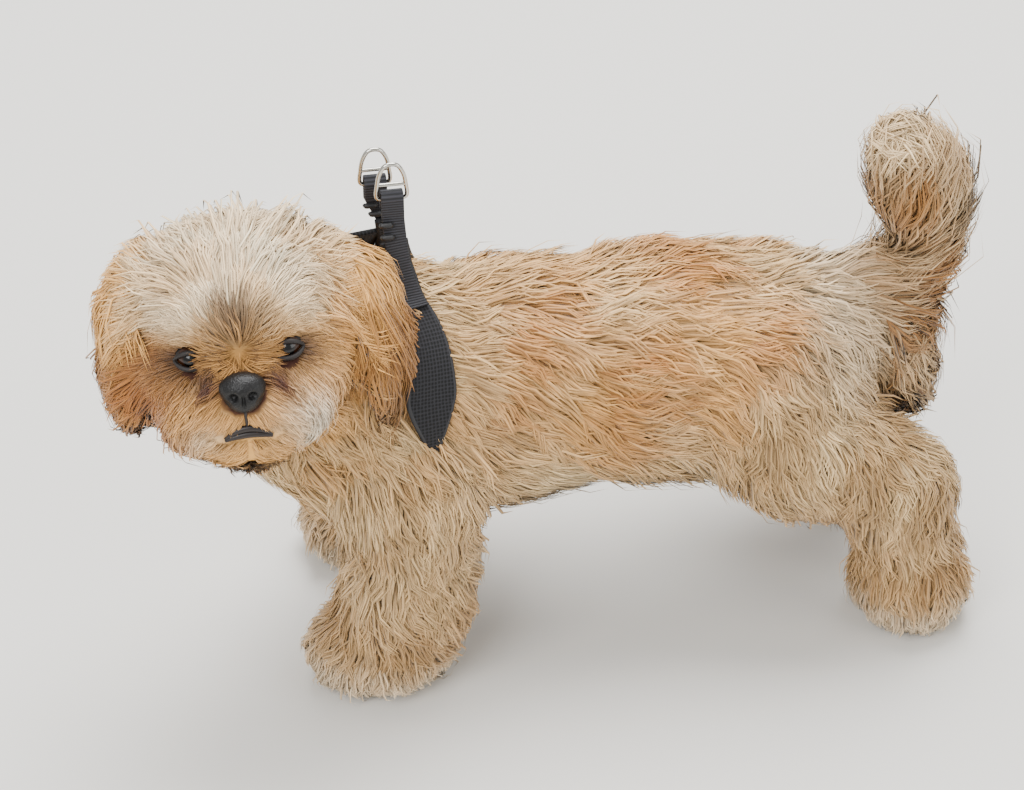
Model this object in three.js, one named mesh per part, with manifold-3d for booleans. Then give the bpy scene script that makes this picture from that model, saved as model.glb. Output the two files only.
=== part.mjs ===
// A life-size shih tzu in a clipped coat. It stands braced on four legs with its head turned to its left,
// and wears a padded step-in harness whose two rings stand up over the withers.
// Millimetres. +X runs from the chest to the tail, +Y to the dog's right and +Z up from the floor.

import * as THREE from 'three';
import { MeshSurfaceSampler } from 'three/addons/math/MeshSurfaceSampler.js';
import { mergeVertices } from 'three/addons/utils/BufferGeometryUtils.js';
import Module from 'manifold-3d';

const wasm = await Module();
wasm.setup();

const at = (x, y, z) => new THREE.Vector3(x, y, z);
const { degToRad, lerp, clamp } = THREE.MathUtils;

// Driving dimensions
const seam = 0.3;                  // clearance between nodes that touch
const backHeight = 230;            // floor to the top of the coat over the ribs
const barrelRadius = 65;           // trunk with its coat, half its height
const stanceHalf = 58;             // paw centre to the dog's middle plane
const forePawX = -163;             // paw centres along the body
const hindPawX = 161;
const pawHeight = 44;              // top of the furred paw
const headTurn = 85;               // degrees from straight ahead, to the dog's left
const headLift = 20;               // degrees that the face looks up
const headTilt = 4;                // degrees, right cheek down
const skull = at(-231, -46, 254);  // centre of the head between the ears
const skullHalf = 58;              // half the head's width with its coat, without the ears
const eyeApart = 25.5;             // eye centre to the middle of the face
const eyeRadius = 10.5;
const noseWidth = 25;
const webbing = 12.5;               // width of the harness webbing

// Height of the trunk's middle line, from which the trunk, legs, neck and tail are placed
const spineZ = backHeight - barrelRadius;

// Distance fields: each takes a point and gives roughly how far it lies outside a rounded form

function ellipsoid(centre, radii, turn = new THREE.Quaternion()) {
  const back = turn.clone().invert();
  return (point) => {
    const scaled = point.clone().sub(centre).applyQuaternion(back).divide(radii);
    const outside = scaled.length();
    const slope = scaled.divide(radii).length();
    return slope < 1e-9 ? -Math.min(radii.x, radii.y, radii.z) : (outside * (outside - 1)) / slope;
  };
}

function limb(from, to, fromRadius, toRadius) {
  const bone = new THREE.Line3(from, to);
  const near = new THREE.Vector3();
  return (point) => {
    const along = bone.closestPointToPointParameter(point, true);
    return point.distanceTo(bone.at(along, near)) - lerp(fromRadius, toRadius, along);
  };
}

function blend(softness, ...forms) {
  return (point) => forms.map((form) => form(point)).reduce((a, b) => {
    const overlap = Math.max(softness - Math.abs(a - b), 0) / softness;
    return Math.min(a, b) - (overlap * overlap * softness) / 4;
  });
}

function hollow(softness, form, ...dents) {
  const filled = blend(softness, (point) => -form(point), ...dents);
  return (point) => -filled(point);
}

function outward(field, point) {
  const step = 0.5;
  const slope = (axis) => field(point.clone().addScaledVector(axis, step))
    - field(point.clone().addScaledVector(axis, -step));
  return at(slope(at(1, 0, 0)), slope(at(0, 1, 0)), slope(at(0, 0, 1))).normalize();
}

// Distance from a point inside a form to its surface, or to the surface grown by `grow`
function reachOf(field, origin, direction, grow = 0) {
  const stride = 4;
  const farthest = 260;
  const value = (t) => field(origin.clone().addScaledVector(direction, t)) - grow;
  let inner = 0;
  while (inner < farthest && value(inner + stride) < 0) inner += stride;
  let outer = inner + stride;
  for (let halving = 0; halving < 12; halving += 1) {
    const middle = (inner + outer) / 2;
    if (value(middle) < 0) inner = middle;
    else outer = middle;
  }
  return inner;
}

function settle(field, point, height = 0) {
  for (let pass = 0; pass < 3; pass += 1) {
    point.addScaledVector(outward(field, point), height - field(point));
  }
  return point;
}

// Solids

function solidOf(geometry) {
  const bare = geometry.index ? geometry.toNonIndexed() : geometry.clone();
  bare.deleteAttribute('normal');
  bare.deleteAttribute('uv');
  const welded = mergeVertices(bare, 1e-3);
  const corners = welded.index.array;
  const triVerts = [];
  for (let i = 0; i < corners.length; i += 3) {
    const [a, b, c] = [corners[i], corners[i + 1], corners[i + 2]];
    if (a !== b && b !== c && c !== a) triVerts.push(a, b, c);
  }
  return new wasm.Manifold(new wasm.Mesh({
    numProp: 3,
    vertProperties: new Float32Array(welded.attributes.position.array),
    triVerts: new Uint32Array(triVerts),
  }));
}

function largest(solid) {
  return solid.decompose().sort((a, b) => b.volume() - a.volume())[0];
}

const joined = (pieces) => pieces.reduce((whole, piece) => whole.add(piece));
const without = (solid, ...cutters) => cutters.reduce((rest, cutter) => rest.subtract(cutter), solid);

function moveVertices(geometry, place) {
  const position = geometry.attributes.position;
  for (let i = 0; i < position.count; i += 1) {
    const moved = place(new THREE.Vector3().fromBufferAttribute(position, i));
    position.setXYZ(i, moved.x, moved.y, moved.z);
  }
  return geometry;
}

// A ball whose vertices are pushed out from `centre` until they meet the field's surface
function castBall({ field, centre, turn = new THREE.Quaternion(), columns, rows }, grow = 0) {
  const ball = new THREE.SphereGeometry(1, columns, rows);
  ball.rotateX(Math.PI / 2);
  return solidOf(moveVertices(ball, (spot) => {
    const direction = spot.normalize().applyQuaternion(turn);
    return centre.clone().addScaledVector(direction, reachOf(field, centre, direction, grow));
  }));
}

// A capsule bent along `bone`, its vertices pushed out square to the bone until they meet the field's surface
function castAlong({ field, bone, side, around, along, caps }, grow = 0) {
  const capsule = new THREE.CapsuleGeometry(1, 1, caps, around, along);
  return solidOf(moveVertices(capsule, (spot) => {
    const share = clamp(spot.y + 0.5, 0, 1);
    const tangent = bone.getTangentAt(share);
    const across = new THREE.Vector3().crossVectors(tangent, side).normalize();
    const third = new THREE.Vector3().crossVectors(across, tangent);
    const direction = new THREE.Vector3()
      .addScaledVector(across, spot.x)
      .addScaledVector(tangent, spot.y + 0.5 - share)
      .addScaledVector(third, spot.z)
      .normalize();
    const origin = bone.getPointAt(share);
    return origin.addScaledVector(direction, reachOf(field, origin, direction, grow));
  }));
}

function curve(...points) {
  return new THREE.CatmullRomCurve3(points, false, 'centripetal');
}

// A rod of oval section along a curve, closed at both ends
function rod(path, halfWidth, halfThickness, steps, sides = 8) {
  const outline = new THREE.Shape();
  for (let i = 0; i < sides; i += 1) {
    const angle = (i / sides) * Math.PI * 2;
    const [x, y] = [Math.cos(angle) * halfWidth, Math.sin(angle) * halfThickness];
    if (i === 0) outline.moveTo(x, y);
    else outline.lineTo(x, y);
  }
  outline.closePath();
  return solidOf(new THREE.ExtrudeGeometry(outline, { steps, bevelEnabled: false, extrudePath: path }));
}

// Trunk, neck and head

const trunkField = blend(
  24,
  ellipsoid(at(-95, 0, spineZ - 6), at(82, barrelRadius, barrelRadius + 6)),
  limb(at(-60, 0, spineZ), at(20, 0, spineZ - 1), barrelRadius, barrelRadius - 1),
  limb(at(20, 0, spineZ - 1), at(78, 0, spineZ - 5), barrelRadius - 1, barrelRadius - 5),
  ellipsoid(at(92, 0, spineZ - 8), at(46, barrelRadius - 8, barrelRadius - 8)),
  ellipsoid(at(-168, -10, spineZ - 14), at(50, 52, 56)),
);
const trunk = {
  field: trunkField,
  bone: curve(at(-165, -8, spineZ - 12), at(-95, 0, spineZ - 6), at(0, 0, spineZ), at(92, 0, spineZ - 8)),
  side: at(0, 1, 0),
  around: 20,
  along: 10,
  caps: 3,
};

// The face's own directions: left is the dog's left
const faceTurn = new THREE.Quaternion()
  .setFromEuler(new THREE.Euler(0, 0, degToRad(headTurn - 90)))
  .multiply(new THREE.Quaternion().setFromEuler(new THREE.Euler(degToRad(-headLift), 0, 0)))
  .multiply(new THREE.Quaternion().setFromEuler(new THREE.Euler(0, degToRad(-headTilt), 0)));
const onFace = (left, forward, up) => at(left, -forward, up).applyQuaternion(faceTurn).add(skull);
const faceWay = (left, forward, up) => at(left, -forward, up).applyQuaternion(faceTurn).normalize();
const faceForm = (left, forward, up, radii) => ellipsoid(onFace(left, forward, up), radii, faceTurn);
const sides = [1, -1];

const eyeForward = 46;
const eyeUp = -1;
const headField = hollow(
  7,
  blend(
    15,
    faceForm(0, -4, 6, at(skullHalf, 58, 54)),
    faceForm(0, 31, 22, at(44, 27, 22)),
    faceForm(0, 48, -27, at(25, 22, 18)),
    faceForm(0, 40, -52, at(24, 23, 15)),
    ...sides.map((s) => faceForm(s * 25, 9, -18, at(38, 42, 33))),
    ...sides.map((s) => faceForm(s * 24, 44, -38, at(22, 21, 17))),
  ),
  ...sides.map((s) => faceForm(s * eyeApart, eyeForward + 15, eyeUp, at(12, 11, 8.5))),
);
const head = { field: headField, centre: onFace(0, 8, -4), turn: faceTurn, columns: 22, rows: 14 };

const nape = at(-140, -8, spineZ + 22);
const occiput = onFace(0, -14, -10);
const neckField = blend(
  20,
  limb(nape, occiput, 58, 48),
  ellipsoid(at(-186, -22, spineZ + 2), at(46, 48, 48)),
);
const neck = {
  field: neckField,
  bone: curve(nape, nape.clone().lerp(occiput, 0.5), occiput),
  side: at(0, 1, 0),
  around: 12,
  along: 4,
  caps: 3,
};

// Ears: drop ears, hollowed on the side that faces the cheek. The left one hangs farther out.

function earOf(s) {
  const spread = s > 0 ? 16 : 3;
  const drop = s > 0 ? 8 : 0;
  const thick = s > 0 ? 19 : 16;
  const turn = faceTurn.clone()
    .multiply(new THREE.Quaternion().setFromEuler(new THREE.Euler(degToRad(4), degToRad(s * -9), 0)));
  const out = (past) => s * (skullHalf + past);
  const flap = blend(
    12,
    ellipsoid(onFace(out(spread), -6, 2 - drop), at(thick, 27, 38), turn),
    ellipsoid(onFace(out(spread * 0.5), 0, -27 - drop), at(thick, 24, 27), turn),
    limb(onFace(out(-8), -10, 36), onFace(out(spread - 3), -8, 14), 13, thick - 2),
  );
  const cup = ellipsoid(onFace(out(spread - thick + 4), 7, -36 - drop), at(10, 15, 36), turn);
  return { field: hollow(5, flap, cup), centre: onFace(out(spread + 4), -6, -8 - drop), turn, columns: 12, rows: 10 };
}

// Eyes, lids, nose and mouth

const eyeCentre = (s) => onFace(s * eyeApart, eyeForward - 2, eyeUp);

function eyeBall(s, grow = 0) {
  const ball = new THREE.SphereGeometry(eyeRadius + grow, 11, 7);
  ball.rotateX(Math.PI / 2);
  ball.applyQuaternion(faceTurn);
  return solidOf(ball.translate(...eyeCentre(s)));
}

// A lid is a rod round the front of the eye, from corner to corner; `rise` is its height in degrees
function lid(s, rise) {
  const lidRadius = eyeRadius + 0.8;
  const half = 68;
  const points = [-1, -0.5, 0, 0.5, 1].map((share) => {
    const across = degToRad(share * half);
    const up = degToRad(rise * (1 - share * share));
    return faceWay(Math.sin(across), Math.cos(across) * Math.cos(up), Math.sin(up))
      .multiplyScalar(lidRadius).add(eyeCentre(s));
  });
  return rod(curve(...points), 1.9, 1.9, 5, 4);
}

const noseField = hollow(
  2,
  blend(
    5,
    faceForm(0, 68, -14, at(noseWidth / 2, 9, 8)),
    faceForm(0, 68, -20, at(noseWidth / 2 - 3, 8.5, 8)),
  ),
  ...sides.map((s) => faceForm(s * 5.4, 78, -17.5, at(3, 5.5, 2.6))),
  ...sides.map((s) => faceForm(s * 10.5, 75, -21, at(3.2, 4, 1.7))),
  faceForm(0, 79, -22, at(1.4, 5, 7)),
);
const nose = { field: noseField, centre: onFace(0, 66, -17), turn: faceTurn, columns: 16, rows: 11 };

const onSkin = (left, forward, up, height = 0) => settle(headField, onFace(left, forward, up), height);
const mouthHalf = 13;
const mouthUp = -39;
const mouthLine = () => curve(...[-1, -0.6, -0.25, 0, 0.25, 0.6, 1]
  .map((share) => onSkin(share * mouthHalf, 68 - 6 * share * share, mouthUp - 2 * share * share, -0.5)));
const mouthCut = () => joined([
  rod(mouthLine(), 2.2, 2.2, 8, 5),
  rod(curve(onSkin(0, 72, -28), onSkin(0, 70, -33), onSkin(0, 68, mouthUp + 1)), 1.6, 1.6, 3, 5),
]);
const lips = () => joined([
  ...[4.2, -4.4].map((above) => rod(curve(...[-1, -0.5, 0, 0.5, 1].map((share) => onSkin(
    share * (mouthHalf - 2), 68 - 6 * share * share, mouthUp + above * (1 - 0.5 * share * share) - 2 * share * share, 0.2,
  ))), 2.4, 2.4, 5, 4)),
]);

// Legs: the left and right ones differ a little, as a standing dog's do

function foreLeg(s, shift) {
  const y = s * stanceHalf;
  const field = blend(
    14,
    ellipsoid(at(-140 + shift, s * 50, spineZ - 18), at(42, 26, 48)),
    limb(at(-138 + shift, s * 56, 125), at(-142 + shift, y, 62), 41, 35),
    limb(at(-142 + shift, y, 62), at(-150 + shift, y, 32), 35, 34),
    ellipsoid(at(forePawX + shift, y, pawHeight / 2), at(42, 35, pawHeight / 2 + 5)),
  );
  const bone = curve(
    at(-138 + shift, s * 54, 150),
    at(-138 + shift, s * 57, 110),
    at(-143 + shift, y, 60),
    at(-158 + shift, y, 26),
  );
  return { field, bone, side: at(0, 1, 0), around: 12, along: 8, caps: 3 };
}

function hindLeg(s, shift) {
  const y = s * stanceHalf;
  const hip = at(74, s * 36, spineZ - 8);
  const stifle = at(88 + shift / 2, s * 46, 128);
  const hock = at(150 + shift, s * 55, 94);
  const field = blend(
    14,
    ellipsoid(hip, at(48, 32, 50)),
    limb(hip, stifle, 44, 41),
    limb(stifle, hock, 41, 30),
    limb(hock, at(hindPawX - 3 + shift, y, 38), 29, 29),
    ellipsoid(at(hindPawX + shift, y, pawHeight / 2), at(35, 35, pawHeight / 2 + 5)),
  );
  const bone = curve(hip, stifle, hock, at(hindPawX - 2 + shift, y, 60), at(hindPawX + shift, y, 26));
  return { field, bone, side: at(0, 1, 0), around: 12, along: 10, caps: 3 };
}

// Tail: rises from the rump, sweeps back and stands up

const tailRoot = at(112, 0, spineZ + 32);
const tailBend = at(160, -8, spineZ + 52);
const tailCurve = curve(
  tailRoot,
  at(136, -3, spineZ + 38),
  tailBend,
  at(166, -10, spineZ + 84),
  at(160, -11, spineZ + 112),
  at(150, -12, spineZ + 134),
);
function tailLength(first, last, field) {
  const share = (t) => tailCurve.getPointAt(lerp(first, last, t));
  return {
    field,
    bone: curve(share(0), share(0.35), share(0.7), share(1)),
    side: at(0, 1, 0),
    around: 10,
    along: 6,
    caps: 3,
  };
}
const tailSplit = 0.52;
const fringeDrop = 66;
const tailBaseField = blend(
  12,
  limb(tailRoot, tailBend, 21, 19),
  limb(at(135, -4, spineZ + 24), at(150, -8, spineZ + 8 - fringeDrop / 2), 18, 14),
  limb(at(158, -8, spineZ + 34), at(162, -10, spineZ + 6 - fringeDrop / 2), 15, 12),
);
const plumeField = blend(
  12,
  limb(tailCurve.getPointAt(tailSplit), tailCurve.getPointAt(0.8), 19, 24),
  limb(tailCurve.getPointAt(0.8), tailCurve.getPointAt(1), 24, 18),
);
const tailBase = { ...tailLength(0, tailSplit, tailBaseField), along: 8 };
const plume = tailLength(tailSplit, 1, plumeField);

// Harness: padded panels that lie on the coat, and webbing that stands up from the withers to two rings

const wornField = blend(
  16,
  trunkField,
  neckField,
  ...sides.map((s) => foreLeg(s, s > 0 ? 12 : 0).field),
);
const padThickness = 3.2;
const webThickness = 1.8;
const crest = at(-141, -4, backHeight + 6);
const barHeight = backHeight + 73;      // the rings' cross bars, over the floor

// A closed solid from rows of [under, over] point pairs
function slab(rows) {
  const points = [];
  const quad = (a, b, c, d) => points.push(a, b, c, a, c, d);
  const last = rows.length - 1;
  const edge = rows[0].length - 1;
  for (let i = 0; i < last; i += 1) {
    for (let j = 0; j < edge; j += 1) {
      const [p, q, r, t] = [rows[i][j], rows[i + 1][j], rows[i + 1][j + 1], rows[i][j + 1]];
      quad(p[1], q[1], r[1], t[1]);
      quad(t[0], r[0], q[0], p[0]);
    }
    const [p, q] = [rows[i][0], rows[i + 1][0]];
    quad(p[0], q[0], q[1], p[1]);
    const [r, t] = [rows[i][edge], rows[i + 1][edge]];
    quad(r[1], t[1], t[0], r[0]);
  }
  for (let j = 0; j < edge; j += 1) {
    const [p, q] = [rows[0][j], rows[0][j + 1]];
    quad(p[0], p[1], q[1], q[0]);
    const [r, t] = [rows[last][j], rows[last][j + 1]];
    quad(t[0], t[1], r[1], r[0]);
  }
  const build = (list) => solidOf(new THREE.BufferGeometry().setFromPoints(list));
  const solid = build(points);
  return solid.volume() > 0 ? solid : build([...points].reverse());
}

// How a strap lies at a share of its length. Where `hug` is 1 it lies on the coat, and where it is 0 it hangs free.
function layOf({ route, hug, face }, share) {
  const close = hug(share);
  const rest = (spot, above) => spot.lerp(settle(wornField, spot.clone(), above), close);
  const middle = rest(route.getPointAt(share), 0);
  const out = face.clone().lerp(outward(wornField, middle), close).normalize();
  const across = new THREE.Vector3().crossVectors(route.getTangentAt(share), out).normalize();
  return { rest, middle, out, across };
}

const rowOf = (columns, corner) => Array.from({ length: columns + 1 }, (_, j) => corner(j / columns - 0.5));

function strapRow(strap, share, width, under, over, columns = 3) {
  const { rest, middle, out, across } = layOf(strap, share);
  return rowOf(columns, (offset) => {
    const spot = rest(middle.clone().addScaledVector(across, offset * width), -strap.sink(share));
    return [spot.clone().addScaledVector(out, under), spot.clone().addScaledVector(out, over)];
  });
}

function padded(strap, grow = 0) {
  const rows = [];
  for (let i = 0; i <= strap.steps; i += 1) {
    const share = i / strap.steps;
    rows.push(strapRow(strap, share, strap.width(share) + 2 * grow, -grow, padThickness + grow));
  }
  const start = strap.route.getTangentAt(0).multiplyScalar(-2 * grow);
  const end = strap.route.getTangentAt(1).multiplyScalar(2 * grow);
  rows[0].flat().forEach((corner) => corner.add(start));
  rows[strap.steps].flat().forEach((corner) => corner.add(end));
  return slab(rows);
}

const always = (value) => () => value;
const ease = (from, to) => (share) => THREE.MathUtils.smoothstep(share, from, to);

// Down behind the shoulder, from over the withers to the armpit, where it goes under the coat
const sideStrap = (s) => ({
  route: curve(
    crest.clone().add(at(1, s * 9, 40)),
    crest.clone().add(at(3, s * 15, 22)),
    at(-133, s * 44, spineZ + 52),
    at(-128, s * 68, spineZ + 14),
    at(-130, s * 74, spineZ - 24),
    at(-134, s * 68, spineZ - 50),
  ),
  width: (share) => webbing + 16 * Math.sin(Math.PI * clamp(share * 1.05 - 0.08, 0, 1)),
  sink: (share) => lerp(1.2, 8, THREE.MathUtils.smoothstep(share, 0.62, 0.95)),
  hug: ease(0.13, 0.42),
  face: at(0.1, s, 0.35).normalize(),
  steps: 11,
});

// Down in front of the shoulder, from over the withers to the chest
const neckStrap = (s) => ({
  route: curve(
    crest.clone().add(at(-14, s * 10, 32)),
    at(-163, s * 38 - 6, spineZ + 60),
    at(-184, s * 48 - 14, spineZ + 18),
    at(-212, s * 36 - 18, spineZ - 18),
    at(-226, s * 14 - 18, spineZ - 40),
  ),
  width: always(20),
  sink: (share) => lerp(1.2, 8, THREE.MathUtils.smoothstep(share, 0.2, 0.5)),
  hug: ease(0.12, 0.4),
  face: at(-0.2, s, 0.35).normalize(),
  steps: 9,
});

const chestStrap = {
  route: curve(at(-228, -18, spineZ - 36), at(-222, -14, spineZ - 54), at(-200, -8, spineZ - 72)),
  width: always(20),
  sink: always(4),
  hug: always(1),
  face: at(-1, 0, 0),
  steps: 5,
};

// A closed loop of wire through `points`, which lie in the plane square to `normal`
function hoop(points, normal, wire, around) {
  const path = new THREE.CatmullRomCurve3(points, true, 'centripetal');
  const ringRadius = 10;
  const torus = new THREE.TorusGeometry(ringRadius, 1, 5, around);
  return solidOf(moveVertices(torus, (spot) => {
    const share = Number((Math.atan2(spot.y, spot.x) / (2 * Math.PI) + 1).toFixed(6)) % 1;
    const inward = new THREE.Vector3().crossVectors(path.getTangentAt(share), normal);
    const reach = Math.hypot(spot.x, spot.y) - ringRadius;
    return path.getPointAt(share).addScaledVector(inward, reach * wire).addScaledVector(normal, spot.z * wire);
  }));
}

// Webbing: sewn over the top of the side panel, up to the ring and folded over its lower bar
const barRadius = 1.2;
const foldRadius = barRadius + 0.7 + webThickness / 2;
const barPlace = (s) => at(crest.x + (s < 0 ? 1 : -6), s * 8 - 2, barHeight);

function riser(s, grow = 0) {
  const strap = sideStrap(s);
  const bar = barPlace(s);
  const lift = padThickness + 2 * seam;
  const rows = [[0.42, 24], [0.33, 21], [0.24, 18], [0.14, webbing], [0.03, webbing]]
    .map(([share, width]) => strapRow(strap, share, width + 2 * grow, lift - grow, lift + webThickness + grow, 1));
  const foldRow = (angle, drop) => {
    const out = at(0, s * Math.cos(angle), Math.sin(angle));
    const centre = bar.clone().addScaledVector(out, foldRadius).add(at(0, 0, -drop));
    return rowOf(1, (offset) => {
      const spot = centre.clone().add(at(s * offset * (webbing + 2 * grow), 0, 0));
      const half = webThickness / 2 + grow;
      return [spot.clone().addScaledVector(out, -half), spot.clone().addScaledVector(out, half)];
    });
  };
  rows.push(foldRow(0, 12), ...[0, 0.25, 0.5, 0.75, 1].map((share) => foldRow(Math.PI * share, 0)));
  rows.push(foldRow(Math.PI, 9));
  return slab(rows);
}

// A ring with a lower bar for the webbing and a cross bar above it
function ring(s) {
  const bar = barPlace(s);
  const half = webbing / 2 + barRadius + 0.4;
  const outline = [
    [-half, 0], [0, 0], [half, 0], [half, 9], [half - 1.5, 16], [3, 21], [-3, 21], [1.5 - half, 16], [-half, 9],
  ];
  const frame = hoop(outline.map(([x, z]) => bar.clone().add(at(x, 0, z))), at(0, 1, 0), barRadius, 16);
  const crossBar = rod(
    new THREE.LineCurve3(bar.clone().add(at(-half, 0, 8.5)), bar.clone().add(at(half, 0, 8.5))), 1.1, 1.1, 1, 5,
  );
  return frame.add(crossBar);
}

// A rubber keeper round the webbing, `drop` below the bar
function keeper(s, drop) {
  const bar = barPlace(s);
  const share = drop / 12;
  const top = layOf(sideStrap(s), 0.02);
  const low = top.middle.clone().addScaledVector(top.out, padThickness + 2 * seam + webThickness / 2);
  const high = bar.clone().add(at(0, s * foldRadius, -12));
  const along = high.clone().sub(low);
  const centre = high.clone().addScaledVector(along, -(drop - 12) / along.length());
  const up = along.normalize();
  const normal = new THREE.Vector3().crossVectors(at(1, 0, 0), up).normalize();
  const [wide, deep] = [webbing / 2 + 2.2, webThickness / 2 + 2.4];
  const outline = [[-wide, 0], [-wide + 1.5, deep], [0, deep], [wide - 1.5, deep], [wide, 0], [wide - 1.5, -deep], [0, -deep], [-wide + 1.5, -deep]];
  return hoop(
    outline.map(([x, y]) => centre.clone().add(at(x, 0, 0)).addScaledVector(normal, y)), up, 1.6, 9,
  );
}

const materials = {
  coat: new THREE.MeshStandardMaterial({ name: 'coat', color: 0xd9b98c, roughness: 0.9, metalness: 0 }),
  ear: new THREE.MeshStandardMaterial({ name: 'ear', color: 0xb98a58, roughness: 0.9, metalness: 0 }),
  eye: new THREE.MeshStandardMaterial({ name: 'eye', color: 0x15100d, roughness: 0.1, metalness: 0 }),
  nose: new THREE.MeshStandardMaterial({ name: 'nose', color: 0x1f1e1d, roughness: 0.5, metalness: 0 }),
  mesh: new THREE.MeshStandardMaterial({ name: 'mesh', color: 0x17171a, roughness: 0.85, metalness: 0 }),
  rubber: new THREE.MeshStandardMaterial({ name: 'rubber', color: 0x1d1d1f, roughness: 0.6, metalness: 0 }),
  steel: new THREE.MeshStandardMaterial({ name: 'steel', color: 0xb9b6ad, roughness: 0.3, metalness: 1 }),
};

// The coat: flat tapered locks rooted in the core, each bent along the lie of the hair

const { seededRandom } = THREE.MathUtils;
const around = (value, spread) => value * (1 + spread * (2 * seededRandom() - 1));

// The lie of the hair at a point, for each part of the dog
const down = at(0, 0, -1);
const lieOfTrunk = (point) => (point.x < -175 ? at(0.3, 0, -1) : at(1, 0, -0.45));
const lieOfNeck = () => at(0.7, 0, -0.8);
const stop = onFace(0, 58, 4);
const lieOfHead = (point) => point.clone().sub(stop).normalize().addScaledVector(down, 0.3);
const lieOfEar = () => at(0, 0, -1);
const lieOfLeg = (pawX, pawY) => (point) => {
  const spread = clamp((50 - point.z) / 40, 0, 1);
  return at(0.15, 0, -1).addScaledVector(at(point.x - pawX, point.y - pawY, 0).normalize(), spread * 0.9);
};
const lieOfPlume = (point) => {
  const spine = tailCurve.getPointAt(0.78);
  return at(point.x - spine.x, point.y - spine.y, 0).normalize().multiplyScalar(0.75).add(at(0, 0, 1));
};

// A closed lock of four stations: root, two bends and a tip
function lock(form, root, style, draw, grow = 0) {
  const heights = [-style.depth - 3.5, -style.depth * 0.45, -0.5, style.lift];
  const widths = [0.8, 1, 0.7, 0];
  const stations = [];
  const point = root.clone();
  let heading = style.lie(root);
  heights.forEach((height, i) => {
    const out = outward(form.field, point);
    heading = heading.clone().addScaledVector(out, -heading.dot(out)).normalize();
    const across = new THREE.Vector3().crossVectors(heading, out).normalize();
    if (i > 0) {
      const stride = (draw.length + (i === 3 ? grow : 0)) / 3;
      point.addScaledVector(heading, stride).addScaledVector(across, draw.sway * [0, 1, 0.3, -1][i]);
    }
    settle(form.field, point, height);
    const half = draw.half * widths[i] + grow;
    const thick = style.thick * (1 - 0.18 * i) / 2 + grow;
    stations.push({ point: point.clone(), out, across, half, thick });
  });
  const corners = stations.slice(0, 3).map(({ point: centre, out, across, half, thick }) => [
    centre.clone().addScaledVector(across, -half),
    centre.clone().addScaledVector(out, thick),
    centre.clone().addScaledVector(across, half),
    centre.clone().addScaledVector(out, -thick),
  ]);
  const tip = stations[3].point;
  const points = [];
  const face = (...ring) => {
    for (let i = 1; i < ring.length - 1; i += 1) points.push(ring[0], ring[i], ring[i + 1]);
  };
  face(...corners[0]);
  for (let i = 0; i < 2; i += 1) {
    for (let j = 0; j < 4; j += 1) {
      const k = (j + 1) % 4;
      face(corners[i][j], corners[i + 1][j], corners[i + 1][k], corners[i][k]);
    }
  }
  for (let j = 0; j < 4; j += 1) face(corners[2][j], tip, corners[2][(j + 1) % 4]);
  const solid = solidOf(new THREE.BufferGeometry().setFromPoints(points));
  return solid.volume() > 0 ? solid : solidOf(new THREE.BufferGeometry().setFromPoints([...points].reverse()));
}

function geometryOf(solid) {
  const mesh = solid.getMesh();
  const geometry = new THREE.BufferGeometry();
  geometry.setAttribute('position', new THREE.BufferAttribute(mesh.vertProperties, 3));
  geometry.setIndex(new THREE.BufferAttribute(mesh.triVerts, 1));
  geometry.computeVertexNormals();
  return geometry;
}

// Roots spread evenly over the part of a core that shows
function rootsOn(core, { form, style }) {
  const sampler = new MeshSurfaceSampler(new THREE.Mesh(geometryOf(core))).setRandomGenerator(seededRandom).build();
  const roots = [];
  const spot = new THREE.Vector3();
  for (let attempt = 0; attempt < 2500; attempt += 1) {
    sampler.sample(spot);
    const onOwn = Math.abs(form.field(spot) + style.depthAt(spot)) < 1.2;
    const size = style.size(spot);
    if (onOwn && size > 0 && spot.z > 5 && roots.every((root) => root.distanceTo(spot) > style.spacing * size)) {
      roots.push(spot.clone());
    }
  }
  return roots;
}

const boxOf = (solid) => {
  const { min, max } = solid.boundingBox();
  return new THREE.Box3(at(...min), at(...max));
};

// Locks that stay clear of every other node by the seam; one in the way is shortened, then left out
function locksOf(name, { form, style }) {
  const core = solids.get(name).solid;
  const others = [floor, ...[...solids].filter(([other]) => other !== name).map(([, { solid }]) => solid)]
    .map((solid) => ({ solid, box: boxOf(solid) }));
  const locks = [];
  for (const root of rootsOn(core, { form, style })) {
    const size = style.size(root);
    const half = around(style.half, 0.15) * size;
    const length = around(style.length, 0.2) * size;
    const sway = style.sway * (2 * seededRandom() - 1);
    for (const share of [1, 0.72, 0.5]) {
      const draw = { half: half * (share + 1) / 2, length: length * share, sway };
      const fat = lock(form, root, style, draw, seam);
      const box = boxOf(fat);
      if (others.every((other) => !other.box.intersectsBox(box) || other.solid.intersect(fat).isEmpty())) {
        locks.push(lock(form, root, style, draw));
        break;
      }
    }
  }
  return locks;
}

// Nodes in the order in which they keep their shape: each is cut clear of all those before it.
// `make` gives the solid, or with a seam the one that cuts its neighbours.
const nodes = [];
const coats = new Map();
const add = (name, material, make) => nodes.push({ name, material, make });

const coreOf = (form, depthAt) => ({ ...form, field: (point) => form.field(point) + depthAt(point) });
function addCoated(name, material, cast, form, style) {
  const depthAt = style.depthAt ?? always(style.depth);
  const core = coreOf(form, depthAt);
  add(name, material, (grow) => cast(core, grow));
  coats.set(name, { form, style: { size: always(1), ...style, depthAt } });
}

for (const [side, s] of [['left', 1], ['right', -1]]) add(`eye_${side}`, materials.eye, (grow) => eyeBall(s, grow));
add('nose', materials.nose, (grow) => castBall(nose, grow));

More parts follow.
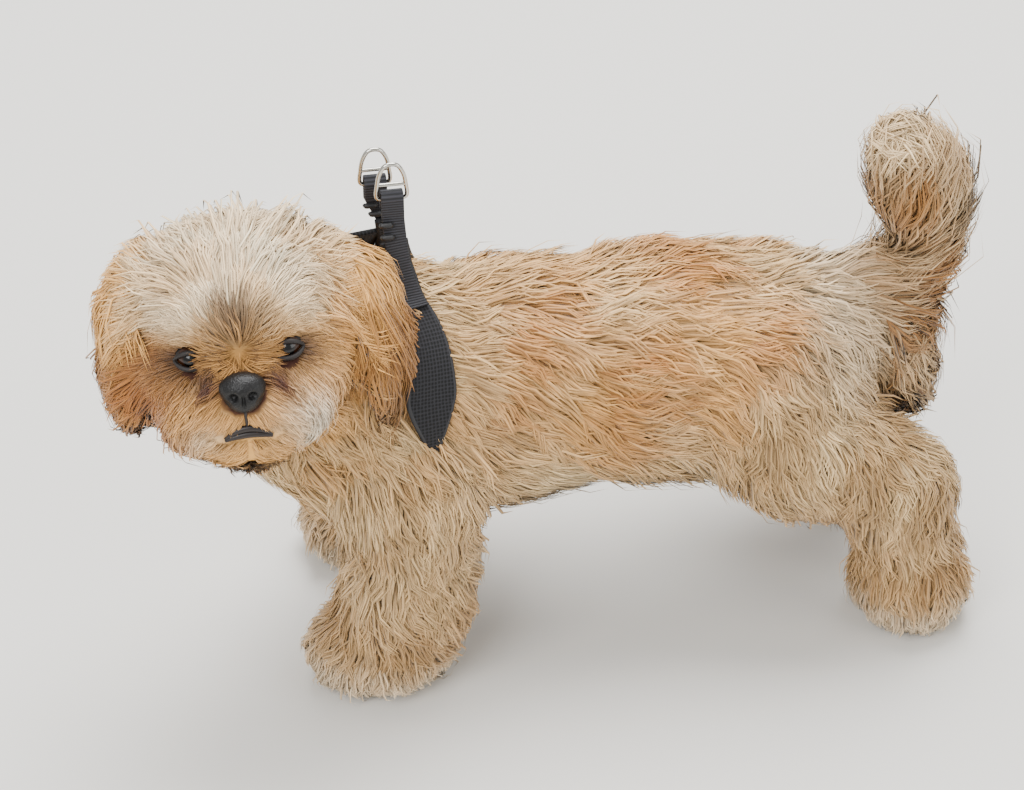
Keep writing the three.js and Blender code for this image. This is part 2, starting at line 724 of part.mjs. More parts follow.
// On the head the coat is shortest round the eyes, nose and mouth, where no lock grows
const fromFace = (point) => point.distanceTo(onFace(0, 66, -14));
const bare = (point) => sides.some((s) => point.distanceTo(onFace(s * eyeApart, eyeForward + 8, eyeUp)) < 15)
  || point.distanceTo(onFace(0, 68, -18)) < 19
  || point.distanceTo(onFace(0, 64, mouthUp - 2)) < 15;
addCoated(
  'head',
  materials.coat,
  (core, grow) => (grow ? castBall(core, grow) : joined([
    castBall(core).subtract(mouthCut()),
    lips(),
    ...sides.flatMap((s) => [lid(s, 30), lid(s, -34)]),
  ])),
  head,
  {
    depth: 4,
    depthAt: (point) => 5 * THREE.MathUtils.smoothstep(fromFace(point), 24, 62),
    size: (point) => (bare(point) ? 0 : lerp(0.55, 1, clamp((fromFace(point) - 20) / 40, 0, 1))),
    lie: lieOfHead,
    spacing: 28,
    length: 45,
    half: 12,
    thick: 3,
    lift: 1.5,
    sway: 2,
  },
);
for (const [side, s] of [['left', 1], ['right', -1]]) {
  addCoated(`ear_${side}`, materials.ear, castBall, earOf(s), {
    depth: 4, lie: lieOfEar, spacing: 24, length: 44, half: 10, thick: 3, lift: 1.5, sway: 2,
  });
}
add('harness_chest', materials.mesh, (grow) => padded(chestStrap, 2 * grow));
for (const [side, s] of [['left', -1], ['right', 1]]) {
  add(`harness_side_${side}`, materials.mesh, (grow) => padded(sideStrap(s), 2 * grow));
  add(`harness_neck_${side}`, materials.mesh, (grow) => padded(neckStrap(s), 2 * grow));
  add(`harness_riser_${side}`, materials.mesh, (grow) => riser(s, grow));
}
addCoated('torso', materials.coat, castAlong, trunk, {
  depth: 6, lie: lieOfTrunk, spacing: 39, length: 68, half: 17, thick: 4, lift: 1, sway: 4,
});
addCoated('neck', materials.coat, castAlong, neck, {
  depth: 6, lie: lieOfNeck, spacing: 36, length: 54, half: 14.5, thick: 4, lift: 1, sway: 3,
});
// Each leg is two nodes, parted by a plane square to the bone: at the hock behind and above the paw in front
const legStyle = { depth: 5, spacing: 34, length: 50, half: 14, thick: 3.6, lift: 1.5, sway: 3 };
function addLeg(upper, lower, leg, share, style) {
  const joint = leg.bone.getPointAt(share);
  const normal = leg.bone.getTangentAt(share);
  const partAt = (side, grow) => [normal.clone().multiplyScalar(side).toArray(), side * joint.dot(normal) + seam / 2 - grow];
  addCoated(upper, materials.coat, (core, grow) => castAlong(core, grow).trimByPlane(...partAt(-1, grow)), leg, style);
  addCoated(lower, materials.coat, (core, grow) => castAlong(core, grow).trimByPlane(...partAt(1, grow)), leg, style);
}
for (const [side, s, foreShift, hindShift] of [['left', -1, 0, 0], ['right', 1, 12, -6]]) {
  const y = s * stanceHalf;
  const foreStyle = { ...legStyle, lie: lieOfLeg(forePawX + foreShift, y) };
  const hindStyle = { ...legStyle, lie: lieOfLeg(hindPawX + hindShift, y) };
  addLeg(`foreleg_${side}`, `forepaw_${side}`, foreLeg(s, foreShift), 0.72, foreStyle);
  addLeg(`thigh_${side}`, `hind_foot_${side}`, hindLeg(s, hindShift), 0.6, hindStyle);
}
const tailStyle = { depth: 6, spacing: 21.5, length: 48, half: 8, thick: 3, lift: 3, sway: 4 };
add('tail_base', materials.coat, (grow) => castAlong(tailBase, grow));
addCoated('tail_plume', materials.coat, castAlong, plume, {
  ...tailStyle,
  lie: lieOfPlume,
  length: 38,
  spacing: 23,
});
for (const [side, s] of [['left', -1], ['right', 1]]) {
  add(`ring_${side}`, materials.steel, () => ring(s));
  add(`keeper_upper_${side}`, materials.rubber, () => keeper(s, 15));
  add(`keeper_lower_${side}`, materials.rubber, () => keeper(s, 22));
}

const floor = solidOf(new THREE.BoxGeometry(900, 500, 200).translate(0, 0, -100));
const cutters = [floor];
const solids = new Map();
for (const { name, material, make } of nodes) {
  solids.set(name, { material, solid: largest(without(make(0), ...cutters)) });
  cutters.push(make(seam));
}

seededRandom(31);
for (const [name, coat] of coats) {
  const node = solids.get(name);
  node.solid = largest(joined([node.solid, ...locksOf(name, coat)]));
}

const dog = new THREE.Group();
const bounds = new THREE.Box3();
for (const [name, { solid, material }] of solids) {
  const part = new THREE.Mesh(geometryOf(solid.simplify(0.03)), material);
  part.geometry.computeBoundingBox();
  bounds.union(part.geometry.boundingBox);
  part.name = name;
  dog.add(part);
}

// The origin is under the middle of the dog, on the floor
const middle = bounds.getCenter(new THREE.Vector3());
dog.position.set(-middle.x, -middle.y, -bounds.min.z);

export default dog;
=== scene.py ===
import math

import bpy
import numpy as np
from mathutils import Matrix, Vector
from mathutils.kdtree import KDTree


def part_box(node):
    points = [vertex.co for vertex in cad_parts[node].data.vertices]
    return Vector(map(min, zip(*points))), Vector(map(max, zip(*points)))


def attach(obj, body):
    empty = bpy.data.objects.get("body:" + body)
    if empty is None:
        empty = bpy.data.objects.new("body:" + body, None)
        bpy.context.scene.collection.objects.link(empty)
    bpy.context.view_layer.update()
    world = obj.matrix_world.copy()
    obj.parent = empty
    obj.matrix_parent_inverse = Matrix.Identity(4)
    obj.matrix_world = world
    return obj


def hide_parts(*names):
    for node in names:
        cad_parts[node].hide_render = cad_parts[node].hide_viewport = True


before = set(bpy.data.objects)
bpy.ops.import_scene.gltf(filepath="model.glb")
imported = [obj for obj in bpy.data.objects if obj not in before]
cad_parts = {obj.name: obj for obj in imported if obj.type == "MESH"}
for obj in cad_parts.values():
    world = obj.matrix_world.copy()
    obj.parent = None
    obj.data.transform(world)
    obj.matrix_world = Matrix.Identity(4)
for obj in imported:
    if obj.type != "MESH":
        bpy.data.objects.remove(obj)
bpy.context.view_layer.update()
draw = np.random.default_rng(31)
print("frame loaded")

# The dog's main sizes in millimetres: +X runs to the tail, +Y to its right and +Z up from the floor
dog = {
    "backHeight": 230,
    "barrelRadius": 65,
    "stanceHalf": 58,
    "forePawX": -163,
    "hindPawX": 161,
    "pawHeight": 44,
    "skull": (-231, -46, 254),
    "skullHalf": 58,
    "headTurn": 85,  # degrees from straight ahead, to the dog's left
    "headLift": 20,
    "headTilt": 4,
    "eyeApart": 25.5,
    "eyeRadius": 10.5,
    "noseWidth": 25,
    "webbing": 12.5,
}
spineZ = dog["backHeight"] - dog["barrelRadius"]
sides = (1, -1)


def turnAbout(axis, degrees):
    return np.array(Matrix.Rotation(math.radians(degrees), 3, axis))


# The face's own directions: its left is the dog's left
faceTurn = turnAbout("Z", dog["headTurn"] - 90) @ turnAbout("X", -dog["headLift"])
faceTurn = faceTurn @ turnAbout("Y", -dog["headTilt"])
skull = np.array(dog["skull"], float)


def onFace(left, forward, up):
    return faceTurn @ np.array((left, -forward, up), float) + skull


def faceWay(left, forward, up):
    way = faceTurn @ np.array((left, -forward, up), float)
    return way / np.linalg.norm(way)


def faceLocal(points):
    local = (points - skull) @ faceTurn
    return local[:, 0], -local[:, 1], local[:, 2]


def smooth(value, low, high):
    share = np.clip((value - low) / (high - low), 0, 1)
    return share * share * (3 - 2 * share)


def unit(vectors):
    return vectors / np.maximum(np.linalg.norm(vectors, axis=-1, keepdims=True), 1e-9)


eyeForward = 46
eyeUp = -1


def eyeCentre(side):
    return onFace(side * dog["eyeApart"], eyeForward - 2, eyeUp)


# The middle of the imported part, found from where its left eye lies
lowEye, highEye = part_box("eye_left")
middle = eyeCentre(1) - np.array((lowEye + highEye) / 2) * 1000
middle[2] = 0


def toScene(points):
    return (np.asarray(points, float) - middle) * 0.001


def toDog(points):
    return np.asarray(points, float) * 1000 + middle


# Distance fields in millimetres: how far points lie outside a rounded form


def ellipsoid(centre, radii, turn=None):
    centre = np.array(centre, float)
    radii = np.array(radii, float)

    def field(points):
        local = points - centre
        if turn is not None:
            local = local @ turn
        scaled = local / radii
        reach = np.linalg.norm(scaled, axis=1)
        slope = np.linalg.norm(scaled / radii, axis=1) + 1e-9
        return reach * (reach - 1) / slope

    return field


def limb(start, end, startRadius, endRadius):
    start = np.array(start, float)
    bone = np.array(end, float) - start

    def field(points):
        along = np.clip((points - start) @ bone / (bone @ bone), 0, 1)
        gap = np.linalg.norm(points - start - along[:, None] * bone, axis=1)
        return gap - startRadius - (endRadius - startRadius) * along

    return field


def soften(softness, a, b):
    overlap = np.maximum(softness - np.abs(a - b), 0) / softness
    return np.minimum(a, b) - overlap * overlap * softness / 4


def blend(softness, *forms):
    def field(points):
        value = forms[0](points)
        for form in forms[1:]:
            value = soften(softness, value, form(points))
        return value

    return field


def hollow(softness, form, *dents):
    def field(points):
        value = -form(points)
        for dent in dents:
            value = soften(softness, value, dent(points))
        return -value

    return field


def outward(field, points):
    step = 0.6
    slope = np.empty_like(points)
    for axis in range(3):
        nudge = np.zeros(3)
        nudge[axis] = step
        slope[:, axis] = field(points + nudge) - field(points - nudge)
    return unit(slope)


def settle(field, points, height=0.0, passes=3):
    points = np.array(points, float)
    for _ in range(passes):
        points += outward(field, points) * (height - field(points))[:, None]
    return points


def spline(points, count):  # `count` points evenly along a smooth curve through `points`
    knots = np.array(points, float)
    knots = np.vstack([2 * knots[0] - knots[1], knots, 2 * knots[-1] - knots[-2]])
    share = np.linspace(0, 1, 40, endpoint=False)[:, None]
    dense = []
    for before, start, end, after in zip(knots, knots[1:], knots[2:], knots[3:]):
        spans = ((before, start), (start, end), (end, after))
        gaps = [max(np.linalg.norm(b - a) ** 0.5, 1e-4) for a, b in spans]
        lead = (start - before) / gaps[0] - (end - before) / (gaps[0] + gaps[1]) + (end - start) / gaps[1]
        trail = (end - start) / gaps[1] - (after - start) / (gaps[1] + gaps[2]) + (after - end) / gaps[2]
        lead *= gaps[1]
        trail *= gaps[1]
        cubic = 2 * start - 2 * end + lead + trail
        square = -3 * start + 3 * end - 2 * lead - trail
        dense.append(cubic * share**3 + square * share**2 + lead * share + start)
    dense = np.vstack([*dense, knots[-2:-1]])
    run = np.concatenate([[0], np.cumsum(np.linalg.norm(np.diff(dense, axis=0), axis=1))])
    want = np.linspace(0, run[-1], count)
    return np.stack([np.interp(want, run, dense[:, axis]) for axis in range(3)], 1)


# Masses of the dog: each part is a list of rounded forms, which both rough out the skin and give its field
neckStart = np.array((-140, -8, spineZ + 22))
neckEnd = onFace(0, -14, -10)


def faceForm(left, forward, up, radii):
    return ("ball", onFace(left, forward, up), radii, faceTurn)


def ball(centre, radii):
    return ("ball", centre, radii, np.eye(3))


def rod(start, end, startRadius, endRadius):
    return ("rod", start, end, startRadius, endRadius)


trunkForms = [
    ball((-95, 0, spineZ - 6), (82, 65, 71)),
    rod((-60, 0, spineZ), (20, 0, spineZ - 1), 65, 64),
    rod((20, 0, spineZ - 1), (78, 0, spineZ - 5), 64, 60),
    ball((92, 0, spineZ - 8), (46, 57, 57)),
    ball((-168, -10, spineZ - 14), (50, 52, 56)),
]
headForms = [
    faceForm(0, -4, 6, (dog["skullHalf"], 58, 54)),
    faceForm(0, 31, 22, (44, 27, 22)),
    faceForm(0, 48, -27, (25, 22, 18)),
    faceForm(0, 40, -52, (24, 23, 15)),
    *[faceForm(s * 25, 9, -18, (38, 42, 33)) for s in sides],
    *[faceForm(s * 24, 44, -38, (22, 21, 17)) for s in sides],
]
neckForms = [rod(neckStart, neckEnd, 58, 48), ball((-186, -22, spineZ + 2), (46, 48, 48))]


def earForms(s):
    spread, drop, thick = (16, 8, 19) if s > 0 else (3, 0, 16)  # the left ear hangs lower and further out
    turn = faceTurn @ turnAbout("X", 4) @ turnAbout("Y", s * -9)

    def out(past):
        return s * (dog["skullHalf"] + past)

    flap = [
        ("ball", onFace(out(spread), -6, 2 - drop), (thick, 27, 38), turn),
        ("ball", onFace(out(spread * 0.5), 0, -27 - drop), (thick, 24, 27), turn),
        rod(onFace(out(-8), -10, 36), onFace(out(spread - 3), -8, 14), 13, thick - 2),
    ]
    cup = ellipsoid(onFace(out(spread - thick + 4), 7, -36 - drop), (10, 15, 36), turn)
    return flap, cup


def foreLegForms(s, shift):
    y = s * dog["stanceHalf"]
    return [
        ball((-140 + shift, s * 50, spineZ - 18), (42, 26, 48)),
        rod((-138 + shift, s * 56, 125), (-142 + shift, y, 62), 41, 35),
        rod((-142 + shift, y, 62), (-150 + shift, y, 32), 35, 34),
        ball((dog["forePawX"] + shift, y, dog["pawHeight"] / 2), (42, 35, dog["pawHeight"] / 2 + 5)),
    ]


def hindLegForms(s, shift):
    y = s * dog["stanceHalf"]
    hip = (74, s * 36, spineZ - 8)
    stifle = (88 + shift / 2, s * 46, 128)
    hock = (150 + shift, s * 55, 94)
    return [
        ball(hip, (48, 32, 50)),
        rod(hip, stifle, 44, 41),
        rod(stifle, hock, 41, 30),
        rod(hock, (dog["hindPawX"] - 3 + shift, y, 38), 29, 29),
        ball((dog["hindPawX"] + shift, y, dog["pawHeight"] / 2), (35, 35, dog["pawHeight"] / 2 + 5)),
    ]


tailLine = spline([
    (112, 0, spineZ + 32),
    (136, -3, spineZ + 38),
    (160, -8, spineZ + 52),
    (166, -10, spineZ + 84),
    (160, -11, spineZ + 112),
    (150, -12, spineZ + 134),
], 101)
tailBaseForms = [
    rod(tailLine[0], (160, -8, spineZ + 52), 21, 19),
    rod((135, -4, spineZ + 24), (150, -8, spineZ - 25), 18, 14),
    rod((158, -8, spineZ + 34), (162, -10, spineZ - 27), 15, 12),
]
plumeForms = [rod(tailLine[52], tailLine[80], 19, 24), rod(tailLine[80], tailLine[100], 24, 18)]


def fieldOf(form):
    return ellipsoid(*form[1:]) if form[0] == "ball" else limb(*form[1:])


def fieldsOf(forms):
    return [fieldOf(form) for form in forms]


# The face lies close under its short hair, so the skin is deepest over the crown and cheeks
def headDepth(points):
    return 5 * smooth(np.linalg.norm(points - onFace(0, 66, -14), axis=1), 24, 62)


eyeSockets = [
    ellipsoid(onFace(s * dog["eyeApart"], eyeForward + 15, eyeUp), (12, 11, 8.5), faceTurn) for s in sides
]
earFlaps = {s: earForms(s) for s in sides}
legShift = {"foreLeft": 0, "foreRight": 12, "hindLeft": 0, "hindRight": -6}

# Each part's forms, its field at the tips of the coat, and how far under that its skin lies
parts = {
    "trunk": (trunkForms, blend(24, *fieldsOf(trunkForms)), 6),
    "neck": (neckForms, blend(20, *fieldsOf(neckForms)), 6),
    "head": (headForms, hollow(7, blend(15, *fieldsOf(headForms)), *eyeSockets), headDepth),
    "earLeft": (earFlaps[1][0], hollow(5, blend(12, *fieldsOf(earFlaps[1][0])), earFlaps[1][1]), 4),
    "earRight": (earFlaps[-1][0], hollow(5, blend(12, *fieldsOf(earFlaps[-1][0])), earFlaps[-1][1]), 4),
    "tailBase": (tailBaseForms, blend(12, *fieldsOf(tailBaseForms)), 6),
    "plume": (plumeForms, blend(12, *fieldsOf(plumeForms)), 6),
}
for name, s in (("Left", -1), ("Right", 1)):
    foreForms = foreLegForms(s, legShift["fore" + name])
    hindForms = hindLegForms(s, legShift["hind" + name])
    parts["fore" + name] = (foreForms, blend(14, *fieldsOf(foreForms)), 5)
    parts["hind" + name] = (hindForms, blend(14, *fieldsOf(hindForms)), 5)
partNames = list(parts)


soleHeight = 3.5  # the soles are flat, just over the floor


def depthOf(name, points):
    depth = parts[name][2]
    return depth(points) if callable(depth) else depth


def skinField(points):
    value = None
    for name in partNames:
        own = parts[name][1](points) + depthOf(name, points)
        value = own if value is None else soften(9, value, own)
    return np.maximum(value, soleHeight - points[:, 2])


def partShares(points):  # how much each point belongs to each part
    values = np.stack([parts[name][1](points) for name in partNames], 1)
    weights = np.exp(-(values - values.min(1, keepdims=True)) / 7)
    return weights / weights.sum(1, keepdims=True)


# Helpers for objects


def clearSelection():
    if bpy.context.object and bpy.context.object.mode != "OBJECT":
        bpy.ops.object.mode_set(mode="OBJECT")
    bpy.ops.object.select_all(action="DESELECT")


def makeActive(obj):
    clearSelection()
    obj.select_set(True)
    bpy.context.view_layer.objects.active = obj


def readRows(rows, field, kind, columns):
    flat = np.empty(len(rows) * columns, kind)
    rows.foreach_get(field, flat)
    return flat.reshape(-1, columns)


def readPoints(obj):
    return readRows(obj.data.vertices, "co", float, 3)


def writePoints(obj, points):
    obj.data.vertices.foreach_set("co", np.ascontiguousarray(points, dtype=np.float32).ravel())
    obj.data.update()


def objectFrom(name, points, faces):
    mesh = bpy.data.meshes.new(name)
    mesh.from_pydata([tuple(point) for point in points], [], faces)
    obj = bpy.data.objects.new(name, mesh)
    bpy.context.scene.collection.objects.link(obj)
    return obj


def finishPiece(obj, material, body="root"):
    obj.data.materials.clear()
    obj.data.materials.append(material)
    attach(obj, body)


def freezePlace(obj):
    makeActive(obj)
    bpy.ops.object.transform_apply(location=True, rotation=True, scale=True)


def editWhole(obj, operator, **options):
    makeActive(obj)
    bpy.ops.object.mode_set(mode="EDIT")
    bpy.ops.mesh.select_all(action="SELECT")
    operator(**options)
    bpy.ops.object.mode_set(mode="OBJECT")


def applyModifiers(obj):
    makeActive(obj)
    for modifier in list(obj.modifiers):
        bpy.ops.object.modifier_apply(modifier=modifier.name)


def shadeSmooth(obj):
    makeActive(obj)
    bpy.ops.object.shade_smooth()


# Helpers for materials


def linear(hexColour):  # from sRGB
    values = [int(hexColour[i : i + 2], 16) / 255 for i in (1, 3, 5)]
    return tuple(v / 12.92 if v <= 0.04045 else ((v + 0.055) / 1.055) ** 2.4 for v in values) + (1.0,)


def addNode(tree, kind, inputs=None, **settings):
    node = tree.nodes.new(kind)
    for name, value in settings.items():
        setattr(node, name, value)
    for socket, value in (inputs or {}).items():
        if isinstance(value, bpy.types.NodeSocket):
            tree.links.new(value, node.inputs[socket])
        else:
            node.inputs[socket].default_value = value
    return node


def newMaterial(name, **inputs):
    material = bpy.data.materials.new(name)
    material.use_nodes = True
    tree = material.node_tree
    shader = tree.nodes["Principled BSDF"]
    for socket, value in inputs.items():
        shader.inputs[socket.replace("_", " ")].default_value = value
    return material, tree, shader


def rampFrom(tree, factor, stops):
    ramp = addNode(tree, "ShaderNodeValToRGB", {"Fac": factor})
    while len(ramp.color_ramp.elements) < len(stops):
        ramp.color_ramp.elements.new(0.5)
    for element, (place, hexColour) in zip(ramp.color_ramp.elements, stops):
        element.position = place
        element.color = linear(hexColour)
    return ramp


# Washed dog hair over skin: dull and soft with a faint sheen along the strands, its colour painted per tuft
hairMaterial, hairTree, hairShader = newMaterial(
    "washedDogHair", Roughness=0.62, Specular_IOR_Level=0.28, Sheen_Weight=0.18, Sheen_Roughness=0.45
)
hairGrain = addNode(hairTree, "ShaderNodeTexNoise", {
    "Vector": addNode(hairTree, "ShaderNodeAttribute", attribute_name="strand").outputs["Vector"],
    "Scale": 1.0, "Detail": 1.0,  # the attribute runs 5 grains across a tuft and 0.9 along it
})
streakStops = [(0.3, "#b3a596"), (0.5, "#e6e1db"), (0.64, "#ffffff")]
hairStreaks = rampFrom(hairTree, hairGrain.outputs["Fac"], streakStops)
hairColour = addNode(hairTree, "ShaderNodeMix", {
    "Factor": 1.0,
    "A": addNode(hairTree, "ShaderNodeAttribute", attribute_name="coatColour").outputs["Color"],
    "B": hairStreaks.outputs["Color"],
}, data_type="RGBA", blend_type="MULTIPLY")
hairTree.links.new(hairColour.outputs["Result"], hairShader.inputs["Base Color"])

# Skin under the coat: matt, seen only as shade between the tufts
skinMaterial, skinTree, skinShader = newMaterial("dogSkin", Roughness=0.8, Specular_IOR_Level=0.2)
skinTree.links.new(
    addNode(skinTree, "ShaderNodeAttribute", attribute_name="coatColour").outputs["Color"],
    skinShader.inputs["Base Color"],
)

print("hair and skin materials made")

# Markings in the dog's own frame, used for both skin and coat
tones = {
    name: np.array(linear(hexColour)[:3])
    for name, hexColour in {
        "cream": "#edcf9c",
        "gold": "#d79c52",
        "flank": "#d6a464",
        "apricot": "#bd7530",
        "undersideShade": "#6e5f48",
        "chest": "#d2a468",
        "forehead": "#ffedca",
        "crown": "#f4b968",
        "cheek": "#ad6c2f",
        "moustache": "#fbefd8",
        "stain": "#4a1f16",
        "stop": "#3a2018",
        "ear": "#99672f",
        "earTip": "#2c1a12",
        "leg": "#cba471",
        "legTanAndShade": "#9c7442",
        "foot": "#f7e4c4",
        "tail": "#a27038",
        "tailPale": "#f8dcae",
        "black": "#231d1b",
    }.items()
}


def mottle(points, grain, seed):  # smooth random patches about `grain` across, from -1 to 1
    waves = np.random.default_rng(seed).normal(size=(9, 3)) * (2.2 / grain)
    phases = np.random.default_rng(seed + 1).uniform(0, 2 * math.pi, 9)
    return np.clip(np.sin(points @ waves.T + phases).sum(1) / 3.2, -1, 1)


def tint(base, toneName, share):
    return base + (tones[toneName] - base) * np.clip(share, 0, 1)[:, None]


def near(points, spot, radius):
    return 1 - smooth(np.linalg.norm(points - np.array(spot, float), axis=1), radius * 0.35, radius)


def trunkMarks(points):
    colour = np.tile(tones["flank"], (len(points), 1))
    colour = tint(colour, "cream", 0.5 + 0.5 * mottle(points, 60, 3))
    height = points[:, 2]
    patches = sum(near(points, spot, radius) for spot, radius in (
        ((-112, -40, spineZ + 38), 46), ((-70, -20, spineZ + 58), 30), ((-22, -50, spineZ + 22), 44),
        ((-10, 30, spineZ + 45), 42), ((62, -42, spineZ + 30), 48), ((60, 40, spineZ + 26), 46),
        ((-95, 45, spineZ + 30), 44), ((14, -10, spineZ + 60), 34),
    ))
    streak = 0.55 + 0.45 * mottle(points * (0.45, 1, 1), 11, 9)
    back = smooth(height, spineZ - 10, spineZ + 45) * smooth(-points[:, 0], -100, -60)
    colour = tint(colour, "gold", 0.75 * back * (0.7 + 0.3 * mottle(points, 24, 11)))
    colour = tint(colour, "apricot", np.clip(patches, 0, 1) * streak * 0.72)
    # The upper rump is painted pale cream: partly the coat's own pale patch, partly painted light on its
    # up-facing top
    paleRumpAndTopLight = smooth(points[:, 0], 62, 96) * smooth(height, spineZ - 14, spineZ + 26)
    colour = tint(tint(colour, "cream", 0.7 * paleRumpAndTopLight), "moustache", 0.4 * paleRumpAndTopLight)
    # The lower barrel is painted darker, as painted shade under the body
    return tint(colour, "undersideShade", 0.85 * smooth(-height, -(spineZ - 18), -(spineZ - 52)))


def neckMarks(points):
    colour = np.tile(tones["chest"], (len(points), 1))
    return tint(colour, "cream", 0.45 + 0.4 * mottle(points, 30, 21))


def headMarks(points):
    left, forward, up = faceLocal(points)
    colour = np.tile(tones["crown"], (len(points), 1))
    colour = tint(colour, "forehead", smooth(up, 0, 22) * (1 - smooth(np.abs(left), 26, 52)))
    colour = tint(colour, "cheek", smooth(-left, 18, 40) * (1 - smooth(np.abs(up + 22), 22, 44)))
    colour = tint(colour, "cheek", 0.3 * smooth(left, 30, 48) * (1 - smooth(np.abs(up + 5), 14, 34)))
    colour = tint(colour, "cheek", 0.32 * smooth(forward, 40, 52) * (1 - smooth(np.abs(up + 14), 12, 24)))
    front = smooth(forward, 18, 34)
    puff = np.exp(-(((left - 31) / 17) ** 2 + ((up + 33) / 15) ** 2))
    colour = tint(colour, "moustache", 1.1 * puff * front)
    puff = np.exp(-(((left + 22) / 13) ** 2 + ((up + 38) / 12) ** 2))
    colour = tint(colour, "moustache", 0.45 * puff * front)
    eyeMarks = []
    for s in sides:
        tear = np.exp(-(((left * s - 14) / 8) ** 2 + ((up + 11) / 9.5) ** 2))
        eyeMarks.append(("stain", 1.1 * tear * front))
        rim = np.exp(-(((left * s - 24) / 15) ** 2 + ((up + 2) / 10) ** 2))
        eyeMarks.append(("stop", 1.15 * rim * front))
    stopMark = np.exp(-((left / 8) ** 2 + ((up - 11) / 8) ** 2))
    eyeMarks.append(("stop", 0.85 * stopMark * front))
    lipMark = np.exp(-((left / 15) ** 2 + ((up + 38) / 6) ** 2))
    colour = tint(colour, "crown", 0.22 + 0.22 * mottle(points, 14, 5))
    for toneName, share in [*eyeMarks, ("stop", 0.7 * lipMark * smooth(forward, 44, 56))]:
        colour = tint(colour, toneName, share)
    return colour


def earMarks(side):
    def marks(points):
        up = faceLocal(points)[2]
        colour = np.tile(tones["ear"], (len(points), 1))
        colour = tint(colour, "crown", smooth(up, 5, 38))
        drop = 14 if side > 0 else 6
        return tint(colour, "earTip", 0.85 * smooth(-up - drop, 18, 48) * (0.7 + 0.3 * mottle(points, 9, 31)))

    return marks


def legMarks(points):
    height = points[:, 2]
    colour = np.tile(tones["leg"], (len(points), 1))
    colour = tint(colour, "cream", 0.55 * smooth(height, 60, 150) + 0.2 * mottle(points, 26, 43))
    # Darker tan in random patches, and painted shade on the inner sides of the legs, between them
    inner = smooth(-np.abs(points[:, 1]), -48, -24)
    colour = tint(colour, "legTanAndShade", 0.5 * smooth(mottle(points, 22, 41), -0.1, 0.7) + 0.5 * inner)
    return tint(colour, "foot", smooth(-height, -52, -16) * 0.9)


def tailMarks(points):
    height = points[:, 2]
    colour = np.tile(tones["tail"], (len(points), 1))
    colour = tint(colour, "tailPale", smooth(height, spineZ + 90, spineZ + 140) * 0.9)
    colour = tint(colour, "tailPale", 0.3 + 0.3 * mottle(points, 16, 51))
    return tint(colour, "black", 0.75 * near(points, (163, -30, spineZ + 74), 13))


markers = {
    "trunk": trunkMarks, "neck": neckMarks, "head": headMarks, "earLeft": earMarks(1), "earRight": earMarks(-1),
    "foreLeft": legMarks, "foreRight": legMarks, "hindLeft": legMarks, "hindRight": legMarks,
    "tailBase": tailMarks, "plume": tailMarks,
}


def markings(points, shares):
    colour = np.zeros((len(points), 3))
    for index, name in enumerate(partNames):
        use = shares[:, index] > 0.01
        colour[use] += markers[name](points[use]) * shares[use, index, None]
    return colour


def paint(obj, colours):
    layer = obj.data.color_attributes.new("coatColour", "FLOAT_COLOR", "POINT")
    rgba = np.ones((len(colours), 4), np.float32)
    rgba[:, :3] = colours
    layer.data.foreach_set("color", rgba.ravel())


# The skin: balls at every mass, fused by a voxel remesh and drawn onto the field
skinShape = {"voxel": 3.2, "ballStep": 22, "smallest": 4, "underFace": 5, "shade": 0.9}


def addBall(centre, radii, turn):
    bpy.ops.mesh.primitive_ico_sphere_add(
        subdivisions=3,
        radius=1,
        location=toScene(centre),
        rotation=Matrix(turn.tolist()).to_euler(),
        scale=[max(radius, skinShape["smallest"]) * 0.001 for radius in radii],
    )
    return bpy.context.object


def roughBody():
    clearSelection()
    balls = []
    for name in partNames:
        forms, _, depth = parts[name]
        deep = skinShape["underFace"] if callable(depth) else depth
        for form in forms:
            if form[0] == "ball":
                balls.append(addBall(form[1], np.array(form[2]) - deep, form[3]))
                continue
            start, end, startRadius, endRadius = form[1:]
            start, end = np.array(start, float), np.array(end, float)
            steps = max(2, int(np.linalg.norm(end - start) / skinShape["ballStep"]) + 2)
            for share in np.linspace(0, 1, steps):
                radius = startRadius + (endRadius - startRadius) * share - deep
                balls.append(addBall(start + (end - start) * share, (radius,) * 3, np.eye(3)))
    clearSelection()
    for obj in balls:
        obj.select_set(True)
    bpy.context.view_layer.objects.active = balls[0]
    bpy.ops.object.join()
    body = bpy.context.object
    freezePlace(body)
    body.data.remesh_voxel_size = skinShape["voxel"] * 0.001
    bpy.ops.object.voxel_remesh()
    return body


skin = roughBody()
skin.name = "skin"
skin.data.name = "skin"
writePoints(skin, toScene(settle(skinField, toDog(readPoints(skin)), passes=4)))
editWhole(skin, bpy.ops.mesh.vertices_smooth, factor=0.5, repeat=2)
skinPoints = settle(skinField, toDog(readPoints(skin)), passes=2)
writePoints(skin, toScene(skinPoints))
editWhole(skin, bpy.ops.uv.smart_project, angle_limit=math.radians(66), island_margin=0.003)
skin.data.uv_layers[0].name = "OFBake"
shadeSmooth(skin)
# The skin's markings are darkened as painted shade, for where it shows between the tufts
skinColour = markings(skinPoints, partShares(skinPoints)) * skinShape["shade"]
bareSpots = [(onFace(s * dog["eyeApart"], 52, eyeUp), 15) for s in sides] + [(onFace(0, 68, -17), 17)]
for spot, reach in bareSpots:  # dark bare skin round the eyes and nose
    shade = 1 - smooth(np.linalg.norm(skinPoints - spot, axis=1), reach - 5, reach)
    skinColour = tint(skinColour, "stop", shade)
paint(skin, skinColour)
finishPiece(skin, skinMaterial)
print("skin made,", len(skin.data.polygons), "faces")

# Harness: where each strap lies, worked out before the coat so that the hair is pressed down under it
harness = {
    "padThickness": 3.2,
    "webThickness": 1.8,
    "barHeight": dog["backHeight"] + 73,
    "barRadius": 1.2,
    "neckWidth": 20,
    "webGap": 0.6,  # between a panel and the webbing over it
}
crest = np.array((-141, -4, dog["backHeight"] + 6), float)
wornField = blend(16, parts["trunk"][1], parts["neck"][1], parts["foreRight"][1], parts["foreLeft"][1])


